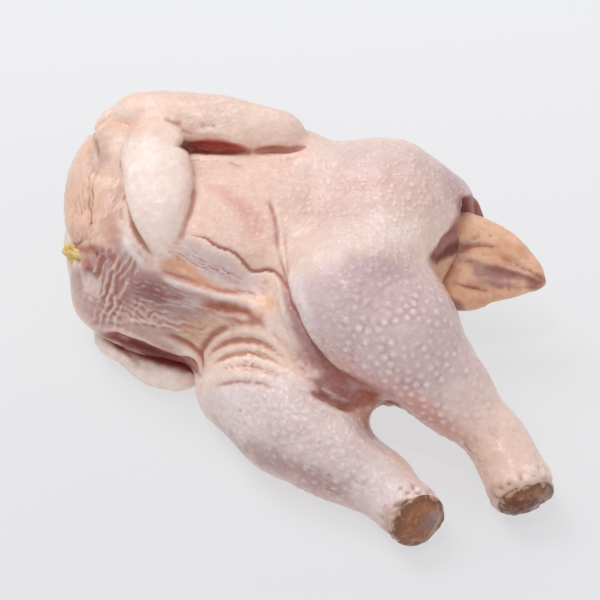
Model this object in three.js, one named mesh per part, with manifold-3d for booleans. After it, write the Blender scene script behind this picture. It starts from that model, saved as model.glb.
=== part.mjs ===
// A whole raw chicken, plucked and drawn, lying on its right side with both legs towards the viewer.
// Millimetres, +Z up, the origin under the middle of the bird on the surface it lies on.
// X runs along the bird towards its tail, and Y runs away from the viewer.
// Trunk, thighs and drumsticks are one skin, blended over simple muscle shapes.
// Wings, neck skin, tail and belly skin are folds of flesh, joined on with a sharp crease as on the bird.
import * as THREE from "three";
import { MarchingCubes } from "three/addons/objects/MarchingCubes.js";
import { mergeVertices } from "three/addons/utils/BufferGeometryUtils.js";
import Module from "manifold-3d";

const wasm = await Module();
wasm.setup();

const point = (x, y, z) => new THREE.Vector3(x, y, z);
const ball = (x, y, z, radius) => ({ centre: point(x, y, z), radius });

// How the bird lies: its long axis is turned a little in plan, and its belly is rolled up.
const YAW = THREE.MathUtils.degToRad(6);
const ROLL = THREE.MathUtils.degToRad(16);
const BODY_CENTRE = point(-14, -12, 43);
const UP = point(0, 0, 1);
const TO_VIEWER = point(0, -1, 1).normalize();
const AHEAD = point(-Math.cos(YAW), Math.sin(YAW), 0);
const LEVEL_BACK = AHEAD.clone().cross(UP);
const LEFT = UP.clone().multiplyScalar(Math.cos(ROLL)).addScaledVector(LEVEL_BACK, Math.sin(ROLL));
const BACK = LEVEL_BACK.clone().multiplyScalar(Math.cos(ROLL)).addScaledVector(UP, -Math.sin(ROLL));

// A place in the bird's own axes: ahead of the body's centre, to its left, and towards its back.
function bird(ahead, toLeft, toBack) {
  return BODY_CENTRE.clone()
    .addScaledVector(AHEAD, ahead)
    .addScaledVector(LEFT, toLeft)
    .addScaledVector(BACK, toBack);
}

// Eggs of the trunk: half its length ahead, across and deep, and how far each fills in to the rest.
const TRUNK = [
  { name: "ribs", at: bird(8, 0, 3), half: [80, 44, 43], fill: 0 },
  { name: "crop", at: bird(56, -2, 0), half: [33, 37, 40], fill: 20 },
  { name: "left breast", at: bird(34, 18, -19), half: [52, 24, 29], fill: 12 },
  { name: "right breast", at: bird(30, -20, -20), half: [55, 24, 29], fill: 12 },
  { name: "pelvis", at: bird(-50, -3, 6), half: [50, 33, 27], fill: 24 },
];

// The breastbone's edge, from the neck end to the belly.
const KEEL = [
  ball(-80, -31, 57, 6),
  ball(-62, -42, 58, 7),
  ball(-43, -53, 58, 7),
  ball(-16, -65, 53, 7),
  ball(13, -80, 43, 7),
];

// Loose flesh over the shoulder and the upper wing bone, and the skin between flank and thigh.
const SHOULDER = [ball(-82, 32, 76, 13), ball(-60, 25, 74, 18), ball(-36, 20, 72, 20), ball(-2, 14, 74, 16)];
const FLANK = [ball(-2, -4, 60, 22), ball(18, -3, 64, 22), ball(38, -8, 66, 26)];

// Each leg from the rump or hip to the cut end below the hock.
const LEFT_LEG = [
  ball(59, -5, 58, 21),
  ball(40, -8, 66, 26.5),
  ball(22, -64, 63, 29),
  ball(42, -78, 53, 26.5),
  ball(65, -93.5, 38.5, 14.5),
  ball(86, -110, 22, 10.5),
  ball(94, -126, 15, 14.5),
];
const RIGHT_LEG = [
  ball(21, -20, 24, 24),
  ball(-24, -73, 20, 19.5),
  ball(-4, -95, 22, 22.5),
  ball(17, -112, 19, 17),
  ball(33, -124, 14, 11.5),
  ball(47, -142, 14, 14),
];

// Belly skin drawn into the fork of the legs.
const WEB = [ball(-8, -64, 40, 13), ball(8, -79, 37, 11), ball(22, -91, 31, 9)];
const LEFT_CUT = { normal: point(0.3, -0.92, -0.22).normalize(), share: 0.5 };
const RIGHT_CUT = { normal: point(0.48, -0.84, 0.25).normalize(), share: 0.4 };

// Radii, in mm, over which creases are filled.
const LEG_JOINT_FILL = 14;
const LEG_BODY_FILL = 12;
const SMALL_FILL = 10;

// Distance from p to a rounded cone between two balls.
function cone(p, a, b) {
  const axis = b.centre.clone().sub(a.centre);
  const t = THREE.MathUtils.clamp(p.clone().sub(a.centre).dot(axis) / axis.lengthSq(), 0, 1);
  return p.distanceTo(axis.multiplyScalar(t).add(a.centre)) - THREE.MathUtils.lerp(a.radius, b.radius, t);
}

// Distance from p to a chain of balls joined by cones, its joints filled.
function chain(p, balls, fill) {
  let d = cone(p, balls[0], balls[1]);
  for (let i = 2; i < balls.length; i++) d = blend(d, cone(p, balls[i - 1], balls[i]), fill);
  return d;
}

// Nearly the distance from p to an egg whose half sizes lie along the bird's axes.
function egg(p, { at, half }) {
  const d = p.clone().sub(at);
  const parts = [AHEAD, LEFT, BACK].map((axis, i) => d.dot(axis) / half[i]);
  const reach = Math.hypot(...parts);
  const steepness = Math.hypot(...parts.map((share, i) => share / half[i]));
  return steepness > 1e-9 ? (reach * (reach - 1)) / steepness : -Math.min(...half);
}

// The smaller of two distances, with the crease between them filled over the given radius.
function blend(a, b, fill) {
  const h = Math.max(fill - Math.abs(a - b), 0) / fill;
  return Math.min(a, b) - (h * h * fill) / 4;
}

// Distance from p to the skin of the trunk, shoulder, thighs and drumsticks.
function flesh(p) {
  let body = egg(p, TRUNK[0]);
  for (const part of TRUNK.slice(1)) body = blend(body, egg(p, part), part.fill);
  body = blend(body, chain(p, KEEL, SMALL_FILL), SMALL_FILL + 2);
  body = blend(body, chain(p, SHOULDER, SMALL_FILL), SMALL_FILL);
  body = blend(body, chain(p, FLANK, LEG_JOINT_FILL), LEG_JOINT_FILL);
  body = blend(body, chain(p, RIGHT_LEG, LEG_JOINT_FILL), LEG_BODY_FILL);
  body = blend(body, chain(p, WEB, SMALL_FILL), SMALL_FILL);
  return blend(body, chain(p, LEFT_LEG, LEG_JOINT_FILL), LEG_BODY_FILL);
}

// The cube of space that the skin is traced in, and how finely.
const TRACE_CENTRE = point(0, -50, 60);
const TRACE_HALF = 136;
const TRACE_CELLS = 46;
const SETTLE_ROUNDS = 6;
const LONGEST_SLIDE = 1.2;

// The skin as a closed mesh: marching cubes over the distance, then each vertex slid on to the surface.
function skinGeometry(distance) {
  const cubes = new MarchingCubes(TRACE_CELLS, new THREE.MeshBasicMaterial(), false, false, 60000);
  const half = TRACE_CELLS / 2;
  const cell = TRACE_HALF / half;
  const least = 0.12; // keeps vertices off the grid's corners, where triangles would collapse
  const p = new THREE.Vector3();
  for (let k = 0; k < TRACE_CELLS; k++) {
    for (let j = 0; j < TRACE_CELLS; j++) {
      for (let i = 0; i < TRACE_CELLS; i++) {
        p.set(i - half, j - half, k - half).multiplyScalar(cell).add(TRACE_CENTRE);
        const d = distance(p) / cell;
        cubes.field[i + TRACE_CELLS * (j + TRACE_CELLS * k)] = -Math.sign(d) * Math.max(Math.abs(d), least);
      }
    }
  }
  cubes.isolation = 0;
  cubes.update();
  const corners = cubes.positionArray.slice(0, cubes.geometry.drawRange.count * 3);
  const soup = new THREE.BufferGeometry().setAttribute("position", new THREE.BufferAttribute(corners, 3));
  const skin = mergeVertices(soup, 1e-5);
  skin.scale(TRACE_HALF, TRACE_HALF, TRACE_HALF).translate(...TRACE_CENTRE.toArray());
  settle(skin, distance);
  return skin;
}

// Evens out the triangles and puts each vertex back on the surface, a few times over.
function settle(geometry, distance) {
  const place = geometry.getAttribute("position");
  const corner = geometry.index.array;
  const neighbours = Array.from({ length: place.count }, () => new Set());
  for (let t = 0; t < corner.length; t += 3) {
    for (let c = 0; c < 3; c++) {
      neighbours[corner[t + c]].add(corner[t + ((c + 1) % 3)]).add(corner[t + ((c + 2) % 3)]);
    }
  }
  const at = (i) => new THREE.Vector3().fromBufferAttribute(place, i);
  const slope = (p, axis) => {
    const step = new THREE.Vector3().setComponent(axis, 0.5);
    return distance(p.clone().add(step)) - distance(p.clone().sub(step));
  };
  for (let round = 0; round < SETTLE_ROUNDS; round++) {
    const moved = neighbours.map((near, i) => {
      const mean = new THREE.Vector3();
      near.forEach((n) => mean.add(at(n)));
      const p = at(i).lerp(mean.divideScalar(near.size), 0.5);
      const uphill = point(slope(p, 0), slope(p, 1), slope(p, 2));
      const trust = Math.min(uphill.lengthSq(), 1) ** 2; // low in a crease, where the slope is faint
      const slide = THREE.MathUtils.clamp(-distance(p), -LONGEST_SLIDE, LONGEST_SLIDE);
      return p.addScaledVector(uphill.normalize(), slide * trust);
    });
    moved.forEach((p, i) => place.setXYZ(i, p.x, p.y, p.z));
  }
}

// Folds of flesh: each has a path, half widths and half thicknesses from its first end to its last,
// the side its flat faces, and how blunt its ends are, from 2 for an egg to 8 for a sausage.
const FOLDS = {
  leftForearm: {
    path: [
      point(-86, 29, 86),
      point(-62, 22, 93),
      point(-38, 18.5, 94),
      point(-17, 16, 92),
      point(3, 16, 89),
    ],
    wide: [11, 13, 12.5, 12, 9.5],
    thick: [11, 12, 12, 11, 9],
    face: TO_VIEWER,
    blunt: 7,
  },
  leftHand: {
    path: [
      point(-67, 17, 94),
      point(-63, -9, 95),
      point(-62, -28, 90),
      point(-61.5, -40, 83),
      point(-60.5, -49, 75),
    ],
    wide: [12, 14.5, 16, 13, 2.5],
    thick: [9, 8.5, 8, 7, 3],
    face: TO_VIEWER,
    blunt: 8,
  },
  neckSkin: {
    path: [
      point(-82, 33, 80),
      point(-87, 15, 78),
      point(-90, -3, 70),
      point(-90.5, -16, 63),
      point(-91, -26, 57),
    ],
    wide: [13, 17, 19, 18, 15],
    thick: [11, 12, 11, 9, 7],
    face: point(-0.6, -0.5, 0.6),
    blunt: 7,
  },
  neckFat: {
    path: [point(-100, -22, 57), point(-98, -29, 54), point(-97, -34, 51)],
    wide: [6, 6, 4],
    thick: [4, 3.5, 2.5],
    face: point(-0.6, -0.5, 0.6),
    blunt: 3,
    slices: 8,
    sides: 10,
  },
  rightForearm: {
    path: [point(-90, -26, 9), point(-68, -43, 9), point(-44, -53, 9)],
    wide: [9, 14, 15, 15, 12],
    thick: [7, 9, 9, 9, 8],
    face: UP,
    blunt: 4,
  },
  rightHand: {
    path: [point(-94, -33, 9), point(-83, -41, 12), point(-69, -50, 10)],
    wide: [4, 8, 9, 8, 4],
    thick: [4, 5, 5, 4, 3],
    face: UP,
    blunt: 3,
    slices: 12,
    sides: 14,
  },
  tail: {
    path: [
      point(50, -16, 45),
      point(70, -21, 46),
      point(87, -23.5, 45),
      point(101, -27, 42.5),
      point(110.25, -30.5, 40.5),
    ],
    wide: [15, 21.5, 20.5, 13, 4],
    thick: [14, 13, 10.5, 7.5, 3.5],
    face: point(0.1, -0.8, 0.6),
    blunt: 8,
  },
  bellySkin: {
    path: [point(5, -76, 46), point(20, -87, 41), point(34, -94.5, 34)],
    wide: [9, 10, 9, 7, 4],
    thick: [7, 6, 5, 4, 3],
    face: TO_VIEWER,
    blunt: 3,
    slices: 14,
    sides: 14,
  },
};

// The hollow that drawing the bird leaves, from its mouth beside the tail.
const VENT = {
  path: [point(89, -19, 66), point(66, -13, 60), point(38, -9, 56)],
  wide: [12, 14, 15, 14],
  thick: [9, 11, 13, 13],
  face: point(0.1, -0.8, 0.6),
  blunt: 3,
};

// A sphere drawn out along a path into a closed fold.
function foldGeometry({ path, wide, thick, face, blunt, slices = 20, sides = 18 }) {
  const curve = new THREE.CatmullRomCurve3(path);
  const widths = profile(wide);
  const depths = profile(thick);
  const geometry = new THREE.SphereGeometry(1, sides, slices);
  const place = geometry.getAttribute("position");
  for (let i = 0; i < place.count; i++) {
    const [x, y, z] = [place.getX(i), place.getY(i), place.getZ(i)];
    const t = THREE.MathUtils.clamp((1 - y) / 2, 0, 1);
    const ring = Math.hypot(x, z);
    const fullness = ring > 1e-6 ? Math.sqrt(Math.max(1 - Math.abs(y) ** blunt, 0)) / ring : 0;
    const along = curve.getTangentAt(t);
    const outward = face.clone().addScaledVector(along, -face.dot(along)).normalize();
    const sideways = outward.clone().cross(along);
    const p = curve.getPointAt(t);
    p.addScaledVector(sideways, x * fullness * widths(t)).addScaledVector(outward, z * fullness * depths(t));
    place.setXYZ(i, p.x, p.y, p.z);
  }
  return geometry;
}

// A smooth run through evenly spaced values, from 0 to 1.
function profile(values) {
  const line = new THREE.CatmullRomCurve3(values.map((value, i) => point(i, value, 0)));
  return (t) => line.getPoint(t).y;
}

// The block of air beyond a leg's cut face.
function beyondCut(leg, { normal, share }) {
  const end = leg.at(-1);
  const side = 3 * end.radius;
  const turn = new THREE.Quaternion().setFromUnitVectors(UP, normal);
  const block = new THREE.BoxGeometry(side, side, side).translate(0, 0, side / 2).applyQuaternion(turn);
  return block.translate(...end.centre.clone().addScaledVector(normal, share * end.radius).toArray());
}

// The surface's air: everything below the face that the bird rests on.
const FLOOR_SIZE = 600;
const belowFloor = new THREE.BoxGeometry(FLOOR_SIZE, FLOOR_SIZE, FLOOR_SIZE);
belowFloor.translate(0, 0, -FLOOR_SIZE / 2);

function solidFrom(geometry) {
  const bare = geometry.clone();
  bare.deleteAttribute("normal");
  bare.deleteAttribute("uv");
  const merged = mergeVertices(bare, 1e-4);
  const vertProperties = merged.attributes.position.array;
  const triVerts = new Uint32Array(merged.index.array);
  return new wasm.Manifold(new wasm.Mesh({ numProp: 3, vertProperties, triVerts }));
}

function geometryFrom(solid) {
  const mesh = solid.getMesh();
  const geometry = new THREE.BufferGeometry();
  geometry.setAttribute("position", new THREE.BufferAttribute(new Float32Array(mesh.vertProperties), 3));
  geometry.setIndex(new THREE.BufferAttribute(new Uint32Array(mesh.triVerts), 1));
  geometry.computeVertexNormals();
  return geometry;
}

// The bird in one piece: folds added, hollow, cut ends and floor taken away, sealed pockets filled.
function chickenGeometry() {
  let solid = solidFrom(skinGeometry(flesh));
  for (const cut of [beyondCut(LEFT_LEG, LEFT_CUT), beyondCut(RIGHT_LEG, RIGHT_CUT)]) {
    solid = solid.subtract(solidFrom(cut));
  }
  for (const fold of Object.values(FOLDS)) solid = solid.add(solidFrom(foldGeometry(fold)));
  solid = solid.subtract(solidFrom(foldGeometry(VENT))).subtract(solidFrom(belowFloor));
  const outside = solid.decompose().sort((a, b) => b.volume() - a.volume())[0];
  return geometryFrom(outside);
}

const skinColour = new THREE.MeshStandardMaterial({ color: 0xe8c8ba, roughness: 0.42, metalness: 0 });
const geometry = chickenGeometry();

// The origin goes under the middle of the bird.
geometry.computeBoundingBox();
const middle = geometry.boundingBox.getCenter(new THREE.Vector3());
geometry.translate(-middle.x, -middle.y, 0);

const chicken = new THREE.Mesh(geometry, skinColour);
chicken.name = "chicken";

const bundle = new THREE.Group();
bundle.add(chicken);
export default bundle;
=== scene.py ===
"""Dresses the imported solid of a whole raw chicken: skin, folds, wings, tail, cut legs, light and camera.

Lengths are millimetres in the solid's own frame, with +X to the tail, -Y to the breast and +Z up.
They turn to metres only where a mesh is made. A place is given either by three lengths, or by the
two pixel coordinates of the photograph that show it, which a line of sight carries on to the skin.
"""

from __future__ import annotations

import logging
import math
from dataclasses import dataclass
from enum import Enum

import bmesh
import bpy
import numpy as np
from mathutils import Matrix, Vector
from mathutils.bvhtree import BVHTree
from mathutils.kdtree import KDTree

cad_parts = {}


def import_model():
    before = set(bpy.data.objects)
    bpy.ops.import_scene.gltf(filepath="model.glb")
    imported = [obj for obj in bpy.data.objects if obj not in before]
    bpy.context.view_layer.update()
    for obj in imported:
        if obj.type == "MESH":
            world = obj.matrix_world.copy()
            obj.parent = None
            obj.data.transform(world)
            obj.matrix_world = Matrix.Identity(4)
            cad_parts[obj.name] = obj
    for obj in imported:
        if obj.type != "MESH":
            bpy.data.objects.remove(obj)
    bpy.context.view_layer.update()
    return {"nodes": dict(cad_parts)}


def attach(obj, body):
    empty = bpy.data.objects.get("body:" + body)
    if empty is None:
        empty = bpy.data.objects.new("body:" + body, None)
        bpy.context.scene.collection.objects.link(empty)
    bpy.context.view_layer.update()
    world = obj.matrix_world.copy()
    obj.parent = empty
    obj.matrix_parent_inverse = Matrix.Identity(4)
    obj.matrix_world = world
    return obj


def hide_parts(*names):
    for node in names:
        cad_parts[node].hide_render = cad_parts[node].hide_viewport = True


LOG = logging.getLogger("chicken")

METRE = 0.001
BODY = "root"
SOLID = "chicken"

# The bird's paths below were laid out before the solid's origin went under its middle.
LAYOUT_SHIFT = np.array((-1.7, 54.1, 0.0))

# A traced stroke has a place every so many millimetres, and wanders over the other distance.
TRACE_STEP = 1.2
TRACE_SWAY = 5.0

# A line of sight starts this far off the skin, which counts as seen from edge-on inwards.
SIGHT_LIFT = 0.6
SEEN_FROM, SEEN_FULLY = -0.3, -0.02

# The dome round a feather pit: its radius as a share of the gap between pits, and how sizes vary.
DOME_SHARE = 0.38
DOME_SIZES = (0.45, 1.05)

# Relief is read at two scales, for painted shade in hollows and painted highlight on crests: rounds of
# evening, and the height in millimetres that counts as one.
RELIEF_SCALES = ((5, 0.09), (30, 0.42))
# How far the crests of fine folds pale: a painted highlight.
PLEAT_HIGHLIGHT = 0.4

# How far a feather pit's ring darkens and its dome pales, where the pits show fully: partly the skin's
# own colour, partly painted shade round the dome and a painted highlight on its top.
RING_DARKNESS = 0.35
DOME_PALENESS = 0.42

# Whole numbers that scatter the cells of the noise.
SCATTER = (73856093, 19349663, 83492791)
SCATTER_SEED = 2654435
SCATTER_AGAIN = 1274126177

Place = tuple[float, ...]


class Colour(Enum):
    """Colours of raw chicken, as sRGB hex values under white light, but for the meat in slits, which holds
    painted shade.
    """

    CREAM = "#f6dfd0"
    SAND = "#f3d0b8"
    FLANK = "#f3d7c8"
    TAN = "#dcb08f"
    DUSK = "#bfa2ad"
    BERRY = "#9c5f58"
    SALMON = "#cf9f90"
    BISQUE = "#f0dcd1"
    SHELL = "#ecd3cb"
    HEATHER = "#c9a5a8"
    MILK = "#f8e9df"
    BLUSH = "#efc6b8"
    ROSE = "#dfa498"
    PEACH = "#efc4a4"
    LILAC = "#dac6c9"
    PALE_LILAC = "#dccbcc"
    PEARL = "#e9dfdf"
    MAUVE = "#ab807d"
    PLUM = "#854a4b"
    TAUPE = "#a3857c"
    SIENNA = "#b0674f"
    AMBER = "#d89a70"
    APRICOT = "#e8b088"
    CREASE = "#8a5a50"
    MEAT = "#c9604e"
    RAW_MEAT = "#8a2a1c"
    BARK = "#6d4838"
    # Red meat in a slit, darkened by painted shade.
    RED_MEAT_IN_SHADE = "#5e1a14"
    LIVER = "#6a3329"
    FAT = "#dfbd70"
    PALE_FAT = "#ead9a0"
    HONEY = "#a06a45"
    STAGE = "#f1f1f3"


class Shade(Enum):
    """Colours that a shader takes as they are, as linear red, green, blue and alpha."""

    FLUSH = (0.93, 0.865, 0.845, 1)
    VEIN = (0.92, 0.72, 0.68, 1)
    PIT_GAP = (0.84, 0.72, 0.73, 1)
    # The sweep's glow, greyer near the viewer as a painted falloff of light.
    SWEEP_NEAR = (0.76, 0.76, 0.775, 1)
    SWEEP_FAR = (0.863, 0.871, 0.888, 1)
    SWEEP_SHADE = (0.2, 0.2, 0.205, 1)


def linear(colour: Colour) -> np.ndarray:
    """Turn one of the colours from sRGB to linear light.

    Args:
        colour: The colour to turn.

    Returns:
        Red, green and blue from 0 to 1.
    """
    code = colour.value.lstrip("#")
    srgb = np.array([int(code[i : i + 2], 16) / 255 for i in (0, 2, 4)])
    return np.where(srgb <= 0.04045, srgb / 12.92, ((srgb + 0.055) / 1.055) ** 2.4)


def rgba(colour: Colour) -> tuple[float, float, float, float]:
    """Give one of the colours as a shader socket takes it."""
    return (*linear(colour).tolist(), 1.0)


def add_node(tree: bpy.types.NodeTree, kind: str, settings: dict | None = None, **inputs) -> bpy.types.Node:
    """Add a shader node with its settings, values and links.

    Args:
        tree: The node tree to add to.
        kind: The node's type name.
        settings: Properties of the node itself.
        **inputs: Values or output sockets for the inputs, by name with spaces as underscores,
            or by place as _0, _1 and so on.

    Returns:
        The new node.
    """
    node = tree.nodes.new(kind)
    for name, value in (settings or {}).items():
        setattr(node, name, value)
    for name, value in inputs.items():
        key = int(name[1:]) if name[1:].isdigit() else name.replace("_", " ")
        socket = node.inputs[key]
        if isinstance(value, bpy.types.NodeSocket):
            tree.links.new(value, socket)
        else:
            socket.default_value = value
    return node


def smoothstep(low: float, high: float, values: np.ndarray) -> np.ndarray:
    """Rise smoothly from 0 at low to 1 at high, or fall where high is the lower."""
    t = np.clip((values - low) / (high - low), 0, 1)
    return t * t * (3 - 2 * t)


def unit(vectors: np.ndarray) -> np.ndarray:
    """Scale vectors along the last axis to length one."""
    return vectors / np.maximum(np.linalg.norm(vectors, axis=-1, keepdims=True), 1e-9)


def grain(points: np.ndarray, size: float, seed: int) -> np.ndarray:
    """Smooth noise through space.

    Args:
        points: Places in millimetres.
        size: Distance over which the noise changes, in millimetres.
        seed: Picks one of many unlike noises.

    Returns:
        One value for each place, from -1 to 1 and mostly within half of that.
    """
    place = points / size + seed * 13.37
    corner = np.floor(place).astype(np.int64)
    share = place - corner
    ease = share * share * (3 - 2 * share)
    total = np.zeros(len(points))
    for dx in (0, 1):
        for dy in (0, 1):
            for dz in (0, 1):
                cell = corner + np.array((dx, dy, dz))
                mix = cell[:, 0] * SCATTER[0] ^ cell[:, 1] * SCATTER[1] ^ cell[:, 2] * SCATTER[2]
                mix ^= seed * SCATTER_SEED
                mix = (mix ^ (mix >> 13)) * SCATTER_AGAIN & 0x7FFFFFFF
                value = ((mix ^ (mix >> 16)) & 0xFFFF) / 32767.5 - 1
                weight = np.ones(len(points))
                for axis, step in enumerate((dx, dy, dz)):
                    weight *= ease[:, axis] if step else 1 - ease[:, axis]
                total += weight * value
    return total


def spline(points: np.ndarray, count: int) -> np.ndarray:
    """Draw a smooth curve through points.

    Args:
        points: The points that the curve passes.
        count: How many evenly spaced samples to take.

    Returns:
        The samples, from the first point to the last.
    """
    points = np.asarray(points, float)
    if len(points) == 2:
        return points[0] + np.linspace(0, 1, count)[:, None] * (points[1] - points[0])
    before = 2 * points[0] - points[1]
    after = 2 * points[-1] - points[-2]
    p = np.vstack([before, points, after])
    t = np.linspace(0, 1, 24, endpoint=False)[:, None]
    runs = []
    for a, b, c, d in zip(p, p[1:], p[2:], p[3:]):
        curve = 2 * b + (c - a) * t + (2 * a - 5 * b + 4 * c - d) * t**2 + (3 * b - a - 3 * c + d) * t**3
        runs.append(curve / 2)
    dense = np.vstack([*runs, points[-1:]])
    along = np.concatenate([[0], np.cumsum(np.linalg.norm(np.diff(dense, axis=0), axis=1))])
    wanted = np.linspace(0, along[-1], count)
    return np.stack([np.interp(wanted, along, dense[:, axis]) for axis in range(dense.shape[1])], axis=1)


@dataclass(frozen=True)
class PhotoView:
    """The photograph's point of view, and the lines of sight through its pixels."""

    target: Place = (-1.7, 54.1, 0.0)
    elevation_deg: float = 45.0
    distance: float = 1100.0
    frame_px: float = 600.0
    scale: float = 0.47  # millimetres to a pixel at the target
    sensor: float = 36.0

    def axes(self) -> tuple[np.ndarray, np.ndarray, np.ndarray]:
        """Give the view's right, its up, and the way back to the eye."""
        tilt = math.radians(self.elevation_deg)
        back = np.array((0, -math.cos(tilt), math.sin(tilt)))
        right = np.array((1.0, 0, 0))
        return right, np.cross(back, right), back

    def eye(self) -> np.ndarray:
        """Give the place of the lens."""
        return np.array(self.target) + self.axes()[2] * self.distance

    def sight(self, pixel: Place) -> tuple[Vector, Vector]:
        """Find the line of sight through a pixel.

        Args:
            pixel: Pixels from the left and from the top of the frame.

        Returns:
            The eye and the line's direction.
        """
        right, up, back = self.axes()
        x = (pixel[0] - self.frame_px / 2) * self.scale / self.distance
        y = (self.frame_px / 2 - pixel[1]) * self.scale / self.distance
        return Vector(self.eye()), Vector(unit(right * x + up * y - back))

    def pixels(self, points: np.ndarray) -> np.ndarray:
        """Find the pixels that show places given in millimetres."""
        right, up, back = self.axes()
        away = points - self.eye()
        depth = -(away @ back)
        reach = self.distance / (self.scale * depth)
        half = self.frame_px / 2
        return np.stack([half + away @ right * reach, half - away @ up * reach], axis=1)

    def make(self) -> bpy.types.Object:
        """Make the camera and point the scene at it."""
        data = bpy.data.cameras.new("photo_view")
        data.sensor_width = self.sensor
        data.lens = self.sensor * self.distance / (self.scale * self.frame_px)
        data.clip_end = 20
        camera = bpy.data.objects.new("photo_view", data)
        bpy.context.scene.collection.objects.link(camera)
        camera.location = Vector(self.eye()) * METRE
        camera.rotation_euler = (math.radians(90 - self.elevation_deg), 0, 0)
        bpy.context.scene.camera = camera
        return camera


VIEW = PhotoView()


class Mark(Enum):
    """What a stroke does to the skin."""

    CREASE = "crease"
    RIDGE = "ridge"
    LIP = "lip"


@dataclass(frozen=True)
class Stroke:
    """One crease, ridge or skin edge, drawn along a path over the skin.

    A lip lifts the skin on the left of its path, as seen from outside, and lets it fall away
    again over the given distance. The stain is how strongly the colour lies along the stroke; a dark
    colour along a crease is partly painted shade, and a pale one along a ridge partly a painted highlight.
    """

    name: str
    mark: Mark
    path: tuple[Place, ...]
    width: float
    height: float
    colour: Colour = Colour.CREASE
    stain_shade_and_highlight: float = 0.0
    fall: float = 8.0
    wander: float = 0.4


@dataclass(frozen=True)
class Spot:
    """A soft-edged place on the skin, with its half sizes across, up and through."""

    centre: Place
    half: tuple[float, float, float]
    turn: float = 0.0
    ragged: float = 0.3


@dataclass(frozen=True)
class Patch:
    """A soft-edged field of colour on the skin, with its half sizes across, up and through."""

    name: str
    colour: Colour
    centre: Place
    half: tuple[float, float, float]
    strength: float
    turn: float = 0.0
    ragged: float = 0.25


@dataclass(frozen=True)
class Area:
    """A field of colour whose outline is drawn in the view, in pixels, on the skin that shows there.

    A deep one lies over the tones that follow the relief, as in a slit that shows raw meat.
    """

    name: str
    colour: Colour
    outline: tuple[Place, ...]
    strength: float
    soft: float = 6.0
    deep: bool = False


@dataclass(frozen=True)
class Wrinkles:
    """A field of fine folds that run one way over a patch of skin."""

    name: str
    centre: Place
    half: tuple[float, float, float]
    turn: float
    run: float  # the way that the folds run, in degrees in the view, from its right towards its up
    spacing: float
    height: float
    seed: int
    rough: float = 0.25  # share of the noise that lies between folds
    sway: float = 1.6
    length: float = 5.0
    ragged: float = 0.3


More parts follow.
